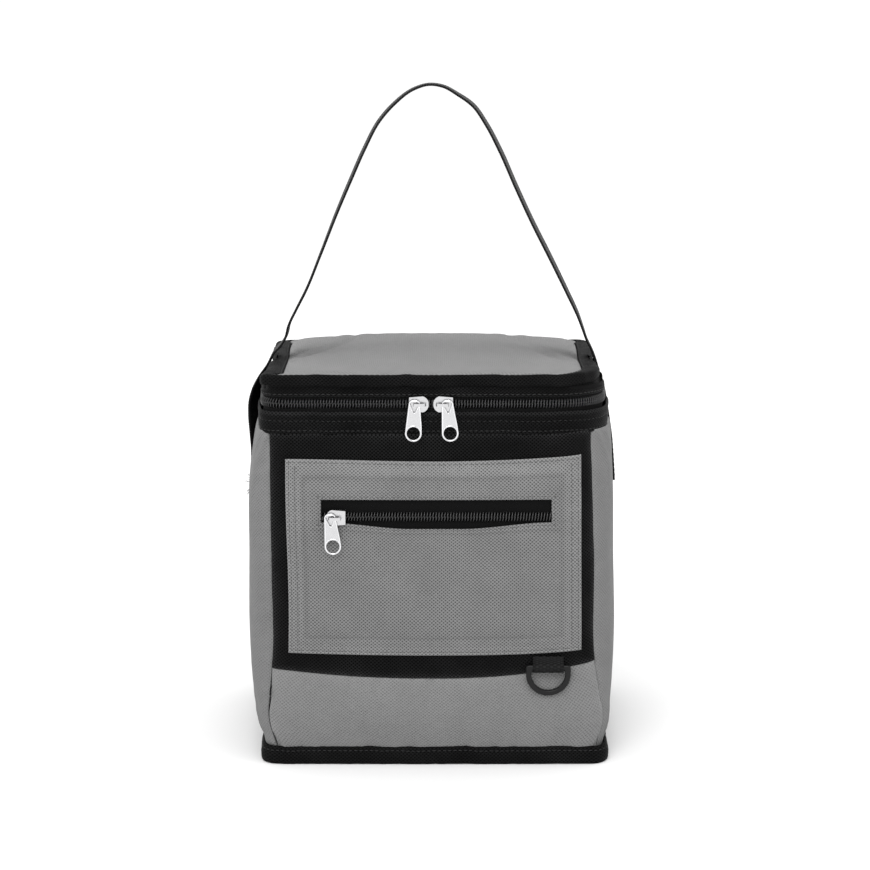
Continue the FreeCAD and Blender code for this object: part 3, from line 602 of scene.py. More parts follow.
def swept(name, line, profile, material, closed=True, drift=0.0, seed=0, wear_and_highlight=None):
    """A strip along a level line: profile points are (out, up) in mm, anticlockwise seen along it."""
    line = np.asarray(line, float)
    if line.shape[1] == 2:
        line = np.concatenate([line, np.zeros((len(line), 1))], 1)
    normal = outward(line, closed)
    profile = np.asarray(profile, float)
    count, size = len(line), len(profile)
    s = run_lengths(looped(line))
    out = profile[None, :, 0] * np.ones((count, 1))
    up = profile[None, :, 1] * np.ones((count, 1))
    if drift:
        belly = np.sin(math.pi * np.arange(size) / size)[None, :]
        period = s[-1] if closed else 1e9
        fade = np.minimum(1, np.minimum(s[:-1], period - s[:-1]) / 20)[:, None] if closed else 1
        out = out + fade * belly * wander(s[:-1], seed, 23.0, drift)[:, None]
        up = up + fade * (0.6 * wander(s[:-1], seed + 1, 31.0, drift)
                          + 0.3 * wander(s[:-1], seed + 2, 7.0, drift))[:, None]
    points = np.stack([line[:, None, 0] + normal[:, None, 0] * out,
                       line[:, None, 1] + normal[:, None, 1] * out,
                       line[:, None, 2] + up], -1)
    polygons, maps = tube_faces(count, size, s, run_lengths(looped(profile)), closed)
    edge = np.zeros(count * size)
    if wear_and_highlight is not None:
        edge = np.tile(np.asarray(wear_and_highlight, float), count)
    return mesh_piece(name, points.reshape(-1, 3), polygons, maps, material, edge)


def rounded_box(left, low, right, high, radius, steps=4):
    """A profile with rounded corners, anticlockwise: out is x, up is y."""
    points = []
    for cx, cy, start in ((right - radius, high - radius, 0), (left + radius, high - radius, 90),
                          (left + radius, low + radius, 180), (right - radius, low + radius, 270)):
        for a in np.radians(np.linspace(start, start + 90, steps)):
            points.append((cx + radius * math.cos(a), cy + radius * math.sin(a)))
    return points


foot = loop_of(-100.4, -101.6, 102.4, 103.6, -76.6, 0.5, 76.8, 8.0, 9.0, 8.0)
binding_profile = [(-0.3, 0.0), (1.6, 0.05), (2.5, 0.5), (2.9, 1.6), (3.0, 3.2), (3.05, 5.2), (2.75, 7.2), (2.2, 8.3),
                   (2.3, 9.1), (2.0, 10.1), (1.3, 10.7), (0.5, 10.8), (-0.3, 10.4), (-0.9, 8.0), (-0.9, 4.0),
                   (-0.8, 0.8)]
bottom_binding = swept("bottom_binding_tape", foot[::3], binding_profile, black_cloth, drift=0.35, seed=61)
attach(bottom_binding, "bag")
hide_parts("bottom_binding")


def filled(outline, columns, rows):
    """A grid over a closed plan: rows run from the front back, each from left to right."""
    x, y = outline[:, 0], outline[:, 1]
    grid_y = y.min() + (y.max() - y.min()) * rows
    middle = (x.min() + x.max()) / 2
    sides = []
    for half in (x < middle, x >= middle):
        order = np.argsort(y[half])
        ys, xs = y[half][order], x[half][order]
        if half[np.argmin(x)]:
            sides.append(np.array([xs[np.abs(ys - v) < 0.6].min() for v in grid_y]))
        else:
            sides.append(np.array([xs[np.abs(ys - v) < 0.6].max() for v in grid_y]))
    left, right = (np.convolve(np.pad(side, 1, "edge"), [0.25, 0.5, 0.25], "valid") for side in sides)
    grid_x = left[:, None] + (right - left)[:, None] * columns[None, :]
    return grid_x, grid_y[:, None] * np.ones((1, len(columns)))


base_x, base_y = filled(foot - outward(foot) * 0.8, spaced(60), spaced(50))
dip = (1 - (base_x / 100) ** 2) * (1 - (base_y / 77) ** 2)
sag = 0.4 + 0.9 * dip * (1 + 0.3 * np.sin(base_x / 17) * np.sin(base_y / 14))
bottom_grid = np.stack([base_x, base_y, sag], -1)[:, ::-1]
bottom_cloth = cloth_piece("bottom_cloth", bottom_grid, 0.9, black_cloth)
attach(bottom_cloth, "bag")
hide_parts("bottom_panel", "bottom_foam")

def dress(node, material):
    """Gives a plain shape of the frame its material."""
    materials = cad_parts[node].data.materials
    materials.clear()
    materials.append(material)


dress("base_board", shader("board_grey", Base_Color=(0.2, 0.19, 0.18, 1), Roughness=0.8)[0])


# ---- lining ------------------------------------------------------------------------------------
# A leak-proof tub of thin silvered film, crinkled over the foam, and a black binding that is folded
# over the raw edges of wall and lining round the mouth.

film, film_tree, film_face = shader("liner_film", Roughness=0.28, Metallic=0.85)
film_cloth = thread_nodes(film_tree, "ShaderNodeUVMap", uv_map="cloth")
crinkle = noise_in(film_tree, film_cloth.outputs[0], 55.0, 5.0, 0.6)
film_tree.links.new(shades(film_tree, crinkle, (0.42, 0.43, 0.44), (0.72, 0.73, 0.75)),
                    film_face.inputs["Base Color"])
relief(film_tree, film_face, crinkle, 0.5, 0.0012)

LINER_INSET, FILM_THICK = 7.2, 0.5
LINER_TURN = 30     # below this height the tub keeps one outline
LINER_FLOOR, LINER_TOP = 8.6, 200.5
liner_rows = np.linspace(LINER_FLOOR, LINER_TOP, 56)
liner_grid = np.zeros((len(liner_rows), STEPS // 8 + 1, 3))
for row, z in enumerate(liner_rows):
    ring = plan(max(z, LINER_TURN), LINER_INSET)[::8]
    liner_grid[row, :, :2] = looped(ring)
    liner_grid[row, :, 2] = z
along = np.linspace(0, 2 * math.pi, liner_grid.shape[1])[None, :]
crease = (np.sin(9 * along + liner_grid[..., 2] / 11) * np.sin(liner_grid[..., 2] / 23 + 3 * np.sin(4 * along))
          + 0.5 * np.sin(23 * along + 2 * np.sin(liner_grid[..., 2] / 9)))
liner_grid = liner_grid - grid_normals(liner_grid) * (0.45 * crease + 0.3)[..., None]
liner_grid[:, -1] = liner_grid[:, 0]
liner_wall = cloth_piece("liner_wall", liner_grid, FILM_THICK, film, wrap=True)
floor_x, floor_y = filled(plan(LINER_TURN, LINER_INSET), spaced(70), spaced(56))
floor_dip = np.sin(floor_x / 13 + np.sin(floor_y / 17)) * np.sin(floor_y / 12)
floor_grid = np.stack([floor_x, floor_y, LINER_FLOOR + 0.7 + 0.35 * floor_dip], -1)
liner_floor = cloth_piece("liner_floor", floor_grid, FILM_THICK, film)
for piece in (liner_wall, liner_floor):
    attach(piece, "bag")
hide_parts("liner")

MOUTH_LOW, MOUTH_TOP = 199.4, 206.6
mouth_line = plan(203, 5.4)
mouth_profile = [(out, up + MOUTH_LOW) for out, up in rounded_box(-2.6, 0, 3.6, MOUTH_TOP - MOUTH_LOW, 2.4, 6)]
mouth = swept("mouth_binding_tape", mouth_line[::4], mouth_profile, black_cloth, drift=0.3, seed=71)
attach(mouth, "bag")
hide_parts("mouth_binding")


# ---- main zip ----------------------------------------------------------------------------------
# A folded black strip below the zip and a narrower one above, each topstitched to a zip tape that
# carries one row of a size 5 nylon coil. The rows mesh round the front and both sides.

ZIP_Z = 217.15
ZIP_END = 66.0
BAND_Z = 206.0


def open_run(line, y_end):
    """The stretch of a closed plan that runs from the left end, round the front, to the right end."""
    x, y = line[:, 0], line[:, 1]
    order = np.arange(len(line))
    late = order[(x < 0) & (y > 0) & (y <= y_end) & (order > len(line) // 2)]
    right = order[(x > 0) & (y <= y_end)].max()
    return np.concatenate([line[late.min():], line[:right + 1]])


band_line = open_run(plan(BAND_Z), ZIP_END)
zip_line = open_run(plan(ZIP_Z), ZIP_END)
band_profile = [(-1.5, 199.4), (-0.4, 199.1), (0.35, 199.5), (0.55, 200.4), (0.25, 201.3), (0.62, 202.3), (0.85, 204.2),
                (0.7, 206.0), (0.28, 207.0), (0.6, 207.9), (0.85, 209.6), (0.75, 211.2), (0.3, 212.3), (-0.3, 212.6),
                (-0.75, 212.2), (-0.55, 211.0), (-0.5, 206.0), (-0.9, 200.6), (-1.5, 200.2)]
# the band's top fold is paler: partly wear, partly a painted highlight on the fold
lower_band = swept("lower_zip_fold", band_line[::3], band_profile, black_cloth, closed=False, drift=0.25, seed=81,
                   wear_and_highlight=[0.5 if 211 < up else 0.0 for _, up in band_profile])
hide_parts("lower_zip_band")

tape_black, tape_tree, tape_face = shader("tape_black", Roughness=0.85, Specular_IOR_Level=0.08)
tape_cloth = thread_nodes(tape_tree, "ShaderNodeUVMap", uv_map="cloth")
ribs = thread_nodes(tape_tree, "ShaderNodeTexWave", wave_type="BANDS", bands_direction="X")
ribs.inputs["Scale"].default_value, ribs.inputs["Distortion"].default_value = 520.0, 2.5
ribs.inputs["Detail"].default_value = 2.0
tape_tree.links.new(tape_cloth.outputs[0], ribs.inputs["Vector"])
tape_tree.links.new(shades(tape_tree, ribs.outputs["Fac"], (0.0012, 0.0012, 0.0012), (0.007, 0.007, 0.0072)),
                    tape_face.inputs["Base Color"])
relief(tape_tree, tape_face, ribs.outputs["Fac"], 0.6, 0.0002)

lower_tape_piece = swept("lower_tape", zip_line[::4], rounded_box(-1.25, 200.6, -0.75, 214.9, 0.2, 3), tape_black,
                         closed=False)
upper_tape_piece = swept("upper_tape", zip_line[::4], rounded_box(-1.25, 219.4, -0.75, 226.6, 0.2, 3), tape_black,
                         closed=False)
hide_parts("lower_zip_tape")
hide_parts("upper_zip_tape")


def socket_of(tree, label):
    """The identifier of a Geometry Nodes input, by its name."""
    return next(item.identifier for item in tree.interface.items_tree
                if item.name == label and item.in_out == "INPUT")


def grown(name, tree, lines, values, material):
    """Runs a tree on polylines in mm and returns the result as a plain mesh piece."""
    points, edges = [], []
    for line in lines:
        first = len(points)
        points += (np.asarray(line) * MM).tolist()
        edges += [(first + k, first + k + 1) for k in range(len(line) - 1)]
    mesh = bpy.data.meshes.new(name)
    mesh.from_pydata(points, edges, [])
    host = bpy.data.objects.new(name + "_line", mesh)
    scene.collection.objects.link(host)
    modifier = host.modifiers.new("grow", "NODES")
    modifier.node_group = tree
    for label, value in {**values, "Material": material}.items():
        modifier[socket_of(tree, label)] = value
    graph = bpy.context.evaluated_depsgraph_get()
    made = bpy.data.meshes.new_from_object(host.evaluated_get(graph), depsgraph=graph)
    bpy.data.objects.remove(host)
    made.name = name
    made.shade_smooth()
    piece = bpy.data.objects.new(name, made)
    scene.collection.objects.link(piece)
    return piece


def along_line(tree, given, shape, up=None):
    """Puts a shape at even steps along the given lines, turned to follow them."""
    to_curve = tree.nodes.new("GeometryNodeMeshToCurve")
    even = thread_nodes(tree, "GeometryNodeResampleCurve", mode="LENGTH")
    tree.links.new(given["Line"], to_curve.inputs[0])
    tree.links.new(to_curve.outputs[0], even.inputs["Curve"])
    tree.links.new(given["Pitch"], even.inputs["Length"])
    tangent = tree.nodes.new("GeometryNodeInputTangent")
    turn = thread_nodes(tree, "FunctionNodeAlignRotationToVector", axis="X")
    tree.links.new(tangent.outputs[0], turn.inputs["Vector"])
    rotation = turn.outputs[0]
    if up is not None:
        upright = thread_nodes(tree, "FunctionNodeAlignRotationToVector", axis="Z", pivot_axis="X")
        tree.links.new(rotation, upright.inputs["Rotation"])
        tree.links.new(up, upright.inputs["Vector"])
        rotation = upright.outputs[0]
    place = tree.nodes.new("GeometryNodeInstanceOnPoints")
    tree.links.new(even.outputs[0], place.inputs["Points"])
    tree.links.new(shape, place.inputs["Instance"])
    tree.links.new(rotation, place.inputs["Rotation"])
    return place


def finish_tree(tree, given, place):
    """Ends a tree: real meshes with their material."""
    solid = tree.nodes.new("GeometryNodeRealizeInstances")
    paint = tree.nodes.new("GeometryNodeSetMaterial")
    out = tree.nodes.new("NodeGroupOutput")
    tree.links.new(place.outputs[0], solid.inputs[0])
    tree.links.new(solid.outputs[0], paint.inputs[0])
    tree.links.new(given["Material"], paint.inputs["Material"])
    tree.links.new(paint.outputs[0], out.inputs[0])


def new_tree(name, inputs):
    """A Geometry Nodes tree that takes a line and the named inputs."""
    tree = bpy.data.node_groups.new(name, "GeometryNodeTree")
    tree.interface.new_socket("Line", in_out="INPUT", socket_type="NodeSocketGeometry")
    for label, kind, value in inputs:
        socket = tree.interface.new_socket(label, in_out="INPUT", socket_type="NodeSocket" + kind)
        if value is not None:
            socket.default_value = value
    tree.interface.new_socket("Geometry", in_out="OUTPUT", socket_type="NodeSocketGeometry")
    return tree, tree.nodes.new("NodeGroupInput").outputs


coil_tree, coil_in = new_tree("coil_row", [("Pitch", "Float", 0.00169), ("Thread", "Float", 0.00034),
                                           ("Middle", "Vector", (0, 0, 1)), ("Material", "Material", None)])
loop = thread_nodes(coil_tree, "GeometryNodeCurvePrimitiveBezierSegment", mode="POSITION")
loop.inputs["Resolution"].default_value = 7
for label, point in (("Start", (-0.42, -0.1, -2.75)), ("Start Handle", (-0.35, -2.3, -1.7)),
                     ("End Handle", (0.2, -2.1, 1.35)), ("End", (0.42, 0.5, 0.1))):
    loop.inputs[label].default_value = [c * MM for c in point]
ring_shape = thread_nodes(coil_tree, "GeometryNodeCurvePrimitiveCircle")
ring_shape.inputs["Resolution"].default_value = 5
coil_tree.links.new(coil_in["Thread"], ring_shape.inputs["Radius"])
tooth = coil_tree.nodes.new("GeometryNodeCurveToMesh")
tooth.inputs["Fill Caps"].default_value = True
coil_tree.links.new(loop.outputs[0], tooth.inputs["Curve"])
coil_tree.links.new(ring_shape.outputs["Curve"], tooth.inputs["Profile Curve"])
finish_tree(coil_tree, coil_in, along_line(coil_tree, coil_in, tooth.outputs[0], coil_in["Middle"]))

def uneven_gloss(tree, surface, factor, low, high):
    """Roughness that varies between two values."""
    spread = thread_nodes(tree, "ShaderNodeMapRange")
    spread.inputs["To Min"].default_value, spread.inputs["To Max"].default_value = low, high
    tree.links.new(factor, spread.inputs["Value"])
    tree.links.new(spread.outputs[0], surface.inputs["Roughness"])


coil_black, coil_nodes, coil_face = shader("coil_black", Base_Color=(0.006, 0.006, 0.0062, 1), Roughness=0.2,
                                           Specular_IOR_Level=0.75)
coil_object = thread_nodes(coil_nodes, "ShaderNodeTexCoord")
coil_grime = noise_in(coil_nodes, coil_object.outputs["Object"], 260.0, 3.0, 0.6)
uneven_gloss(coil_nodes, coil_face, coil_grime, 0.24, 0.46)

COIL_PITCH = 1.69


def raised(line, z, inset):
    """A level line at height z, drawn in by inset."""
    moved = line - outward(line, closed=False) * inset
    return np.concatenate([moved, np.full((len(line), 1), z)], 1)


chain_line = raised(zip_line[::2], ZIP_Z, 0.95)
lower_teeth = grown("lower_coil_teeth", coil_tree, [chain_line], {"Pitch": COIL_PITCH * MM, "Middle": (0, 0, 1)},
                    coil_black)
half_step = chain_line.copy()
first_step = (half_step[1] - half_step[0]) / np.linalg.norm(half_step[1] - half_step[0])
half_step[0] = half_step[0] + first_step * COIL_PITCH / 2
upper_teeth = grown("upper_coil_teeth", coil_tree, [half_step[::-1]], {"Pitch": COIL_PITCH * MM, "Middle": (0, 0, -1)},
                    coil_black)
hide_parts("lower_coil")
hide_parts("upper_coil")
for node in ("left_zip_stop", "right_zip_stop"):
    dress(node, tape_black)
for piece, body, finish in ((lower_band, "bag", "black_fabric"), (lower_tape_piece, "bag", "zip_tape"),
                            (upper_tape_piece, "lid", "zip_tape"),
                            (lower_teeth, "bag", "zip_coil"), (upper_teeth, "lid", "zip_coil")):
    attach(piece, body)

# Black strips close the gap behind the zip's ends, and a strip of the same cloth sewn over both is
# the lid's hinge.
BACK_Z = 208.0
back_full = plan(BACK_Z)
back_run = back_full[(back_full[:, 1] > ZIP_END + 0.6)]
order = np.argsort(np.arctan2(back_run[:, 1] - 40, back_run[:, 0]))
back_run = back_run[order]
rim_profile = [(-1.3, 199.4), (-0.5, 199.2), (0.2, 199.6), (0.4, 203), (0.3, 208), (0.3, 214), (0.0, 216.6), (-0.5, 216.8),
               (-0.8, 216.4), (-0.8, 208), (-0.9, 201)]
lid_strip_profile = [(-0.8, 218.2), (-0.5, 217.8), (0.0, 218.0), (0.3, 220), (0.35, 224), (0.5, 227.4), (-0.6, 227.4),
                     (-0.8, 223)]
rim_strip = swept("back_rim_cloth", back_run[::3], rim_profile, black_cloth, closed=False, drift=0.15, seed=91)
lid_strip = swept("lid_back_cloth", back_run[::3], lid_strip_profile, black_cloth, closed=False, drift=0.15, seed=93)
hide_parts("back_rim_strip")
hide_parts("lid_back_strip")
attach(rim_strip, "bag")
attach(lid_strip, "lid")
hinge_x, hinge_z = np.meshgrid(np.linspace(86, -86, 80), 204.6 + 22.6 * spaced(46, -0.6))
hinge_y = 78.15 + 0.15 * np.sin(hinge_x / 6.1) * np.sin(hinge_z / 3.0)
hinge = cloth_piece("hinge_cloth", np.stack([hinge_x, hinge_y, hinge_z], -1), 0.6, black_cloth)
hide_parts("hinge_tape")
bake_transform(hinge)


# ---- lid ---------------------------------------------------------------------------------------
# A grey foam-filled top, level along the front and crowned behind, with a crease across each back
# corner. A black binding flange is folded round its edge, narrow in front and broad at the sides.

FLANGE_LOW, FLANGE_TOP = 227.2, 234.2
rim = loop_of(-98.2, -98.6, 97.8, 98.2, -78.2, 0.3, 78.4, 7.0, 31.0, 9.0)
rim[:, 0] *= 1 + 0.036 * ease((rim[:, 1] + 25) / 92)
rim_out = outward(rim)
side_share = ease(np.abs(rim_out[:, 0]))
broad = np.where(rim[:, 0] < 0, 11.2 - 1.2 * (rim[:, 1] + 78) / 156, 10.2 - 0.6 * (rim[:, 1] + 78) / 156)
flange_width = 1.8 + (broad - 1.8) * side_share
lid_line = rim - rim_out * flange_width[:, None]
lid_line = sum(np.roll(lid_line, k, axis=0) for k in range(-6, 7)) / 13


def lid_height(x, y):
    """Height of the lid's top: level at the front edge, an ellipse-like crown from there back."""
    half = 90 + 3.5 * (y + 77) / 154
    dome = np.sqrt(np.clip(1 - (x / (half + 1.5)) ** 2, 0, 1))
    grow = 0.12 + 0.88 * ease((y + 74) / 92)
    rear = 1 - 0.10 * ease((y - 55) / 24)
    top = 233.4 + 5.9 * dome * grow * rear
    for side, foot_x, foot_y, head_x, head_y, depth, breadth in (
            (-1, -86, -24, -50, 80, 2.6, 3.6), (1, 87, -37, 50, 82, 2.3, 4.8)):
        length = math.hypot(head_x - foot_x, head_y - foot_y)
        dx, dy = (head_x - foot_x) / length, (head_y - foot_y) / length
        along = (x - foot_x) * dx + (y - foot_y) * dy
        bow = 9 * np.sin(math.pi * np.clip(along / length, 0, 1))
        off = (x - foot_x) * dy - (y - foot_y) * dx + side * bow
        top = top - depth * np.exp(-(off / breadth) ** 2) * ease(along / 22) * ease((length + 4 - along) / 26)
        top = top - 0.8 * ease(side * off / 14 - 0.1) * ease(along / 30)
    return top


lid_x, lid_y = filled(lid_line, spaced(130), spaced(104))
lid_grid = np.stack([lid_x, lid_y, lid_height(lid_x, lid_y)], -1)
lid_grid = settled(tucked(lid_grid, depth=1.2, width=3.0), slack=0.006, push=0.25, cap=0.8)
lid_top = cloth_piece("lid_top", lid_grid, 5.4, painted_lit_grey_cloth)
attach(lid_top, "lid")
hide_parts("lid_panel", "lid_foam")

film_x, film_y = filled(rim - rim_out * 3.4, spaced(70), spaced(56))
film_z = lid_height(film_x, film_y) - 6.4 + 0.3 * np.sin(film_x / 11 + np.sin(film_y / 9)) * np.sin(film_y / 13)
lid_film = cloth_piece("lid_film", np.stack([film_x, film_y, film_z], -1)[:, ::-1], 0.4, film)
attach(lid_film, "lid")
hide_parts("lid_liner")

flange_section = [(0.0, 0.4), (0.35, 0.0), (0.8, 0.1), (0.96, 0.7), (1.0, 2.0), (1.0, 3.6), (0.99, 5.2), (0.95, 6.3),
                  (0.82, 6.95), (0.62, 7.1), (0.4, 7.0), (0.2, 6.75), (0.05, 6.2), (0.0, 4.5)]
EVERY = 4    # the flange takes one point in four of the rim's
outer_line, inner_line = rim[::EVERY], lid_line[::EVERY]
count = len(outer_line)
gaps = run_lengths(looped(outer_line))
fringe = np.minimum(1, np.minimum(gaps[:-1], gaps[-1] - gaps[:-1]) / 20)
wave_out = fringe * (wander(gaps[:-1], 101, 21.0, 0.35) + wander(gaps[:-1], 102, 6.0, 0.12))
wave_up = fringe * (wander(gaps[:-1], 103, 27.0, 0.45) + wander(gaps[:-1], 104, 8.0, 0.12))
tips = 1.8 * np.exp(-(((outer_line[:, 1] + 73) / 7) ** 2)) * (outer_line[:, 0] < 0)
tips = tips + 1.6 * np.exp(-(((outer_line[:, 1] + 39) / 6) ** 2)) * (outer_line[:, 0] > 0)
# the strap presses the flange in where it passes
tips = tips - 2.6 * np.exp(-((outer_line[:, 1] / 15) ** 4)) * (np.abs(outer_line[:, 0]) > 60)
flange_points = np.zeros((count, len(flange_section), 3))
for k, (a, up) in enumerate(flange_section):
    line = inner_line + (outer_line - inner_line) * a
    line = line + rim_out[::EVERY] * (a * (wave_out + tips))[:, None]
    flange_points[:, k, :2] = line
    lift = 0.35 * np.sin(math.pi * a) * side_share[::EVERY]
    flange_points[:, k, 2] = FLANGE_LOW + up * (FLANGE_TOP - FLANGE_LOW) / 7.1 + a * wave_up + lift
size = len(flange_section)
section = np.array([(a * 8, up) for a, up in flange_section])
polygons, maps = tube_faces(count, size, gaps, run_lengths(looped(section)))
flange = mesh_piece("lid_flange", flange_points.reshape(-1, 3), polygons, maps, black_cloth,
                    np.zeros(count * size))
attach(flange, "lid")
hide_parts("lid_binding")

# The strip between the zip and the flange leans from one to the other, with a soft fold in it.
gusset_foot = zip_line[::4]
under_rim = rim - rim_out * 2.2
nearest_rim = np.array([under_rim[np.argmin(((under_rim - point) ** 2).sum(1))] for point in gusset_foot])
for _ in range(3):
    nearest_rim[1:-1] = (nearest_rim[:-2] + 2 * nearest_rim[1:-1] + nearest_rim[2:]) / 4
gusset_way = run_lengths(gusset_foot)
gusset_rows = spaced(18, 0.3)
gusset_grid = np.zeros((len(gusset_rows), len(gusset_foot), 3))
gusset_out = outward(gusset_foot, closed=False)
for row, t in enumerate(gusset_rows):
    middle = math.sin(math.pi * t)
    puff = 0.75 * middle + 0.35 * math.sin(3 * math.pi * t) + wander(gusset_way, 85, 19.0, 0.35) * middle
    gusset_grid[row, :, :2] = (gusset_foot + (nearest_rim - gusset_foot) * ease(t * 1.05)
                               + gusset_out * puff[:, None])
    gusset_grid[row, :, 2] = 221.2 + 7.6 * t + wander(gusset_way, 86, 26.0, 0.12) * (1 - t)
gusset = cloth_piece("lid_gusset_strip", gusset_grid, 0.7, black_cloth, wear_and_highlight=0.5)
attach(gusset, "lid")
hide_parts("lid_gusset")


# ---- pocket ------------------------------------------------------------------------------------
# A grey pouch of the same nonwoven with hemmed edges, sewn flat to the black panel on all four
# sides. Its zip shows in a slot whose edges are folded under and topstitched.

# how far in from the edge the stitch rows run and the hem reaches, and the same round the slot
EDGE_ROW, INNER_ROW, SLOT_ROW, HEM = 1.9, 5.6, 1.8, 9.2
POCKET_LEFT, POCKET_RIGHT = -85.2, 86.0
POCKET_LOW, POCKET_HIGH = 67.0, 183.6
SLOT_LEFT, SLOT_RIGHT, SLOT_LOW, SLOT_HIGH = -64.6, 68.6, 147.8, 161.0


def lines_with(low, high, count, marks):
    """Grid lines from low to high, crowded at the ends and beside the marks, with a line on each mark."""
    ends = [low, *marks, high]
    runs = []
    for a, b in zip(ends[:-1], ends[1:]):
        n = max(6, int(round(count * (b - a) / (high - low))))
        runs.append(a + (b - a) * spaced(n, 0.6)[:-1])
    return np.concatenate(runs + [[high]])


columns = lines_with(POCKET_LEFT, POCKET_RIGHT, 110, (SLOT_LEFT, SLOT_RIGHT))
rows = lines_with(POCKET_LOW, POCKET_HIGH, 84, (SLOT_LOW, SLOT_HIGH))
flat_x, flat_z = np.meshgrid(columns, rows)
from_left, from_right = flat_x - POCKET_LEFT, POCKET_RIGHT - flat_x
from_low, from_high = flat_z - POCKET_LOW, POCKET_HIGH - flat_z
nearest = np.minimum(np.minimum(from_left, from_right), np.minimum(from_low, from_high))
turn = flat_x / 86
pocket_x = (flat_x + 1.6 * ease((turn - 0.2) / 0.8) * (1 - (flat_z - POCKET_LOW) / 117)
            - 0.5 * np.sin(flat_z / 21) * ease(-turn))
pocket_z = (flat_z + (1.4 * ease(-turn) + 3.6 * np.clip(turn, 0, 1) ** 2) * ease((flat_z - 155) / 28)
            + (1.6 * turn ** 2 + 1.6 * np.clip(turn, 0, 1) ** 4) * ease((100 - flat_z) / 33))
slot_share = ease((flat_x - SLOT_LEFT) / 52) * ease((SLOT_RIGHT - flat_x) / 52)
below_slot = np.where(flat_z <= SLOT_LOW, np.exp(-(SLOT_LOW - flat_z) / 9), 0)
pocket_z = pocket_z - 4.0 * slot_share * below_slot


def front_face(x, z):
    """Depth of the front wall's outer face at a point of it, in mm, from the upper panel."""
    out = np.empty(x.shape)
    for index in np.ndindex(x.shape[0]):
        z_row = z[index]
        near = np.array([np.argmin((flat_x_sorted - v) ** 2) for v in x[index]])
        out[index] = face_table[np.clip(np.searchsorted(face_z, z_row), 0, len(face_z) - 1), near]
    return out


face_z = np.linspace(60, 198, 70)
flat_x_sorted = np.linspace(-92, 92, 185)
mid_rows = [front_high[np.argmin(np.abs(front_high[:, 60, 2] - z))] for z in face_z]
face_table = np.array([np.interp(flat_x_sorted, row[:, 0], row[:, 1]) for row in mid_rows])
wall_y = front_face(pocket_x, pocket_z)
wall_y = sum(np.roll(np.pad(wall_y, 3, "edge"), (a, b), (0, 1))[3:-3, 3:-3]
             for a in (-2, 0, 2) for b in (-2, 0, 2)) / 9
slot_gap = np.maximum(np.maximum(SLOT_LEFT - flat_x, flat_x - SLOT_RIGHT),
                      np.maximum(SLOT_LOW - flat_z, flat_z - SLOT_HIGH))
pouch = (1.15 + 2.2 * (1 - np.exp(-np.maximum(nearest - 5, 0) / 7.0))
         + 0.5 * ease((118 - flat_z) / 40) * ease(nearest / 20))
hem = 0.5 * (1 - ease((nearest - HEM) / 0.9)) + 0.3 * (1 - ease((slot_gap - 3.6) / 0.8))


def sunk(distance, row):
    """How deep a row of stitches draws the cloth in."""
    return np.exp(-((distance - row) / 0.7) ** 2)


groove = -0.4 * (sunk(nearest, EDGE_ROW) + sunk(nearest, INNER_ROW) * (from_left < 7)
                 + sunk(nearest, INNER_ROW) * (from_right < 7) + sunk(slot_gap, SLOT_ROW))
slack = (0.35 * np.sin(flat_x / 13 + 1.4 * np.sin(flat_z / 19)) * np.sin(flat_z / 15 + flat_x / 60)
         + 0.22 * np.sin(flat_x / 5.3 + flat_z / 31) * np.exp(-from_low / 12)
         + 0.22 * np.sin(flat_z / 4.9 + flat_x / 23) * np.exp(-np.minimum(from_left, from_right) / 9))
slack = slack * ease((nearest - 1) / 10) * ease((slot_gap - 1) / 8)
near_slot = np.exp(-np.maximum(slot_gap, 0) / 7)
base_y = (wall_y - pouch) * (1 - near_slot) - 80.5 * near_slot
pocket_grid = np.stack([pocket_x, base_y - hem - groove - slack, pocket_z], -1)
roll = 0.6 * (1 - np.sqrt(np.clip(1 - np.clip(1 - nearest / 0.9, 0, 1) ** 2, 0, 1)))
roll = roll + 0.6 * (1 - np.sqrt(np.clip(1 - np.clip(1 - slot_gap / 0.9, 0, 1) ** 2, 0, 1)))
pocket_grid[..., 1] += roll
hole_rows = np.nonzero((rows[:-1] >= SLOT_LOW - 0.01) & (rows[1:] <= SLOT_HIGH + 0.01))[0]
hole_columns = np.nonzero((columns[:-1] >= SLOT_LEFT - 0.01) & (columns[1:] <= SLOT_RIGHT + 0.01))[0]
# painted light and shade on the pocket: a painted highlight on the hem, a painted shade band just inside it, lighter
# towards the top, light and dark stripes near the top, painted shade along the left inner stitch row and round the slot
painted_pocket_light_and_shade = (0.30 * (1 - ease((nearest - HEM) / 1.0)) - 0.45 * np.exp(-((nearest - 10.6) / 1.2) ** 2)
             + 0.22 * ease((flat_z - 141) / 12)
             + 0.12 * np.sin(flat_z / 3.1 + flat_x / 45) * np.exp(-from_high / 30)
             - 0.5 * np.exp(-((nearest - INNER_ROW) / 0.5) ** 2) * (from_left < 7)
             - 0.3 * np.exp(-((slot_gap - 4.4) / 1.0) ** 2))
pocket_cloth = nonwoven("pocket_cloth", (0.069, 0.069, 0.069), (0.232, 0.232, 0.232), depth=1.15, sheen=0.04)
pocket = cloth_piece("pocket_pouch", pocket_grid, 0.9, pocket_cloth,
                     hole=(slice(hole_rows[0], hole_rows[-1] + 1), slice(hole_columns[0], hole_columns[-1] + 1)),
                     wear_and_highlight=0.7, shade=painted_pocket_light_and_shade)
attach(pocket, "bag")
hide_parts("pocket_panel")

